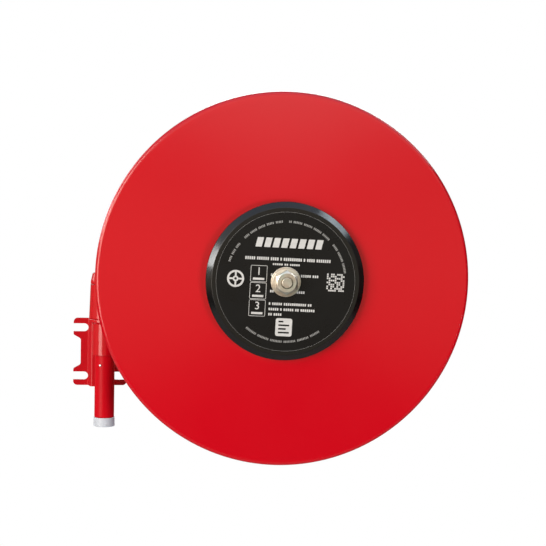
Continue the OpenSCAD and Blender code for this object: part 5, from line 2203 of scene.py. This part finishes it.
@dataclass
class Studio:
    """The pale floor, the soft lights, the sky and the camera."""

    floor_z: float = -1250.0
    floor_x: float = 300.0
    floor_size: float = 5600.0
    floor_lift: float = 0.66
    fill: float = 0.10
    distance: float = 2400.0
    yaw: float = 5.5
    elevation: float = 4.5
    roll: float = 1.2
    lens: float = 99.15
    frame_px: float = 546.0
    right_px: float = 11.1
    down_px: float = 7.4
    aim_back: float = 9.4
    aim: Vector = field(init=False)

    def build(self) -> None:
        """Sets the stage."""
        self.aim = AXLE.at(0.0, depths("front_disc")[1] - self.aim_back)
        self.floor()
        self.sky()
        self.lamps()
        self.camera()
        bpy.context.scene.view_settings.view_transform = "Standard"

    def floor(self) -> None:
        """A plain pale floor, white to the camera where nothing shades it."""
        deselect()
        middle = Vector((self.floor_x, 0.0, self.floor_z)) * MM
        bpy.ops.mesh.primitive_plane_add(size=self.floor_size * MM, location=middle)
        piece = bpy.context.object
        piece.name = "floor"
        sheet = NodeSheet("floor_white")
        sheet.set(Roughness=0.9)
        sheet.tint(sheet.noise(1.5, 3.0), [(0.3, (0.43, 0.43, 0.43)), (0.7, (0.46, 0.46, 0.46))])
        rays = sheet.add("ShaderNodeLightPath")
        lift = sheet.add("ShaderNodeEmission")
        lift.inputs["Strength"].default_value = self.floor_lift
        both = sheet.add("ShaderNodeAddShader")
        sheet.link(sheet.shader.outputs["BSDF"], both.inputs[0])
        sheet.link(lift.outputs["Emission"], both.inputs[1])
        choice = sheet.add("ShaderNodeMixShader")
        sheet.link(rays.outputs["Is Camera Ray"], choice.inputs["Fac"])
        sheet.link(sheet.shader.outputs["BSDF"], choice.inputs[1])
        sheet.link(both.outputs["Shader"], choice.inputs[2])
        sheet.link(choice.outputs["Shader"], sheet.tree.nodes["Material Output"].inputs["Surface"])
        piece.data.materials.append(sheet.material)

    def sky(self) -> None:
        """White to the camera, an even grey as light, and a studio's bands to gloss."""
        world = bpy.data.worlds.new("studio")
        bpy.context.scene.world = world
        world.use_nodes = True
        world.node_tree.nodes.clear()
        sheet = Nodes(world.node_tree)
        add, link = sheet.add, sheet.link
        rays = add("ShaderNodeLightPath")
        place_of = add("ShaderNodeTexCoord")
        split = add("ShaderNodeSeparateXYZ")
        link(place_of.outputs["Generated"], split.inputs["Vector"])
        level = sheet.remap(split.outputs["Z"], (-1.0, 1.0), (0.0, 1.0))
        brightest = 1.9
        stops = [
            (-1.0, (0.05, 0.05, 0.05)), (-0.225, (0.0, 0.0, 0.0)), (-0.200, (0.36, 0.31, 0.22)),
            (-0.08, (0.60, 0.51, 0.37)), (0.03, (0.64, 0.55, 0.41)), (0.085, (0.28, 0.24, 0.19)),
            (0.105, (0.26, 0.24, 0.20)), (0.13, (0.90, 0.86, 0.74)), (0.155, (1.90, 1.85, 1.60)),
            (0.35, (1.2, 1.2, 1.2)), (1.0, (0.62, 0.76, 0.98)),
        ]
        scaled = [((height + 1) / 2, tuple(c / brightest for c in tone)) for height, tone in stops]
        bands = sheet.ramp(level, scaled)
        both = add("ShaderNodeMath", operation="MULTIPLY")
        for index, (axis, given, least) in enumerate((("X", (0.4, 0.8), 0.10), ("Y", (0.0, 0.35), 0.34))):
            fade = sheet.remap(split.outputs[axis], given, (1.0, least), interpolation_type="SMOOTHSTEP")
            link(fade, both.inputs[index])
        strength = add("ShaderNodeMath", operation="MULTIPLY")
        link(both.outputs["Value"], strength.inputs[0])
        strength.inputs[1].default_value = brightest
        gloss = add("ShaderNodeVectorMath", operation="SCALE")
        link(bands, gloss.inputs[0])
        link(strength.outputs["Value"], gloss.inputs["Scale"])
        base = add("ShaderNodeMix", data_type="RGBA")
        link(rays.outputs["Is Glossy Ray"], base.inputs["Factor"])
        base.inputs["A"].default_value = (self.fill, self.fill, self.fill, 1.0)
        link(gloss.outputs["Vector"], base.inputs["B"])
        seen = add("ShaderNodeMath", operation="MAXIMUM")
        link(rays.outputs["Is Camera Ray"], seen.inputs[0])
        link(rays.outputs["Is Transmission Ray"], seen.inputs[1])
        final = add("ShaderNodeMix", data_type="RGBA")
        link(seen.outputs["Value"], final.inputs["Factor"])
        link(base.outputs["Result"], final.inputs["A"])
        final.inputs["B"].default_value = (1.0, 1.0, 1.0, 1.0)
        background = add("ShaderNodeBackground")
        link(final.outputs["Result"], background.inputs["Color"])
        out = add("ShaderNodeOutputWorld")
        link(background.outputs["Background"], out.inputs["Surface"])

    def lamp(
        self,
        name: str,
        azimuth: float,
        elevation: float,
        far: float,
        width: float,
        height: float,
        power: float,
        lights: Lights = Lights.ALL,
        tint: Colour = (1.0, 1.0, 1.0),
    ) -> None:
        """One softbox that faces the reel.

        Args:
            name: the lamp's name.
            azimuth: degrees to the right of straight in front.
            elevation: degrees above level.
            far: distance from the reel in metres.
            width: its width in metres.
            height: its height in metres.
            power: its power in watts.
            lights: whether it shades surfaces, shows in their gloss, or both.
            tint: the colour of its light.
        """
        side, rise = math.radians(azimuth), math.radians(elevation)
        towards = Vector((math.sin(side) * math.cos(rise), -math.cos(side) * math.cos(rise), math.sin(rise)))
        deselect()
        bpy.ops.object.light_add(type="AREA", location=self.aim * MM + towards * far)
        lamp = bpy.context.object
        lamp.name = name
        lamp.rotation_euler = towards.to_track_quat("Z", "Y").to_euler()
        lamp.data.shape = "RECTANGLE"
        lamp.data.size = width
        lamp.data.size_y = height
        lamp.data.energy = power
        lamp.data.color = tint
        lamp.visible_glossy = lights is not Lights.SHADING
        lamp.visible_diffuse = lights is not Lights.GLOSS

    def lamps(self) -> None:
        """The large key at the front left, panels beside and above, and two behind."""
        self.lamp("key", -46.0, 8.0, 6.0, 3.4, 5.6, 356.0, tint=(1.0, 0.92, 0.82))
        self.lamp("side", 42.0, -12.0, 5.0, 1.5, 1.5, 100.0, Lights.SHADING)
        self.lamp("top", 12.0, 66.0, 3.0, 2.4, 1.0, 6.0)
        self.lamp("left", -77.0, 15.0, 3.0, 0.5, 0.8, 23.0, Lights.GLOSS)
        self.lamp("corner", 82.0, 44.0, 3.0, 0.5, 1.3, 18.0, Lights.GLOSS, (0.80, 0.92, 1.0))
        self.lamp("back", 168.0, 24.0, 3.4, 2.2, 1.6, 64.0)
        self.lamp("back_left", -125.0, 20.0, 3.4, 1.6, 1.6, 34.0)

    def camera(self) -> None:
        """The camera, a little left of and above the hub."""
        yaw, rise, roll = (math.radians(v) for v in (self.yaw, self.elevation, self.roll))
        away = Vector((-math.sin(yaw) * math.cos(rise), -math.cos(yaw) * math.cos(rise), math.sin(rise)))
        level = (-away).cross(UP).normalized()
        upright = level.cross(-away)
        across = level * math.cos(roll) + upright * math.sin(roll)
        top = upright * math.cos(roll) - level * math.sin(roll)
        facing = Matrix((across, top, away)).transposed()
        deselect()
        bpy.ops.object.camera_add(location=(self.aim + away * self.distance) * MM, rotation=facing.to_euler())
        camera = bpy.context.object
        camera.data.lens = self.lens
        camera.data.shift_x = -self.right_px / self.frame_px
        camera.data.shift_y = self.down_px / self.frame_px
        camera.data.clip_end = 100.0
        bpy.context.scene.camera = camera


def main() -> None:
    """Builds every sub-assembly, sets the stage and notes the sizes."""
    logging.basicConfig(level=logging.INFO, format="%(name)s: %(message)s")
    finishes = Finishes()
    for kind in (WallMount, SwingArm, Drum, HubCover, Hose, Nozzle):
        LOG.info("building %s", kind.__name__)
        kind(finishes).build()
    Studio().build()
    deselect()


if __name__ == "__main__":
    main()
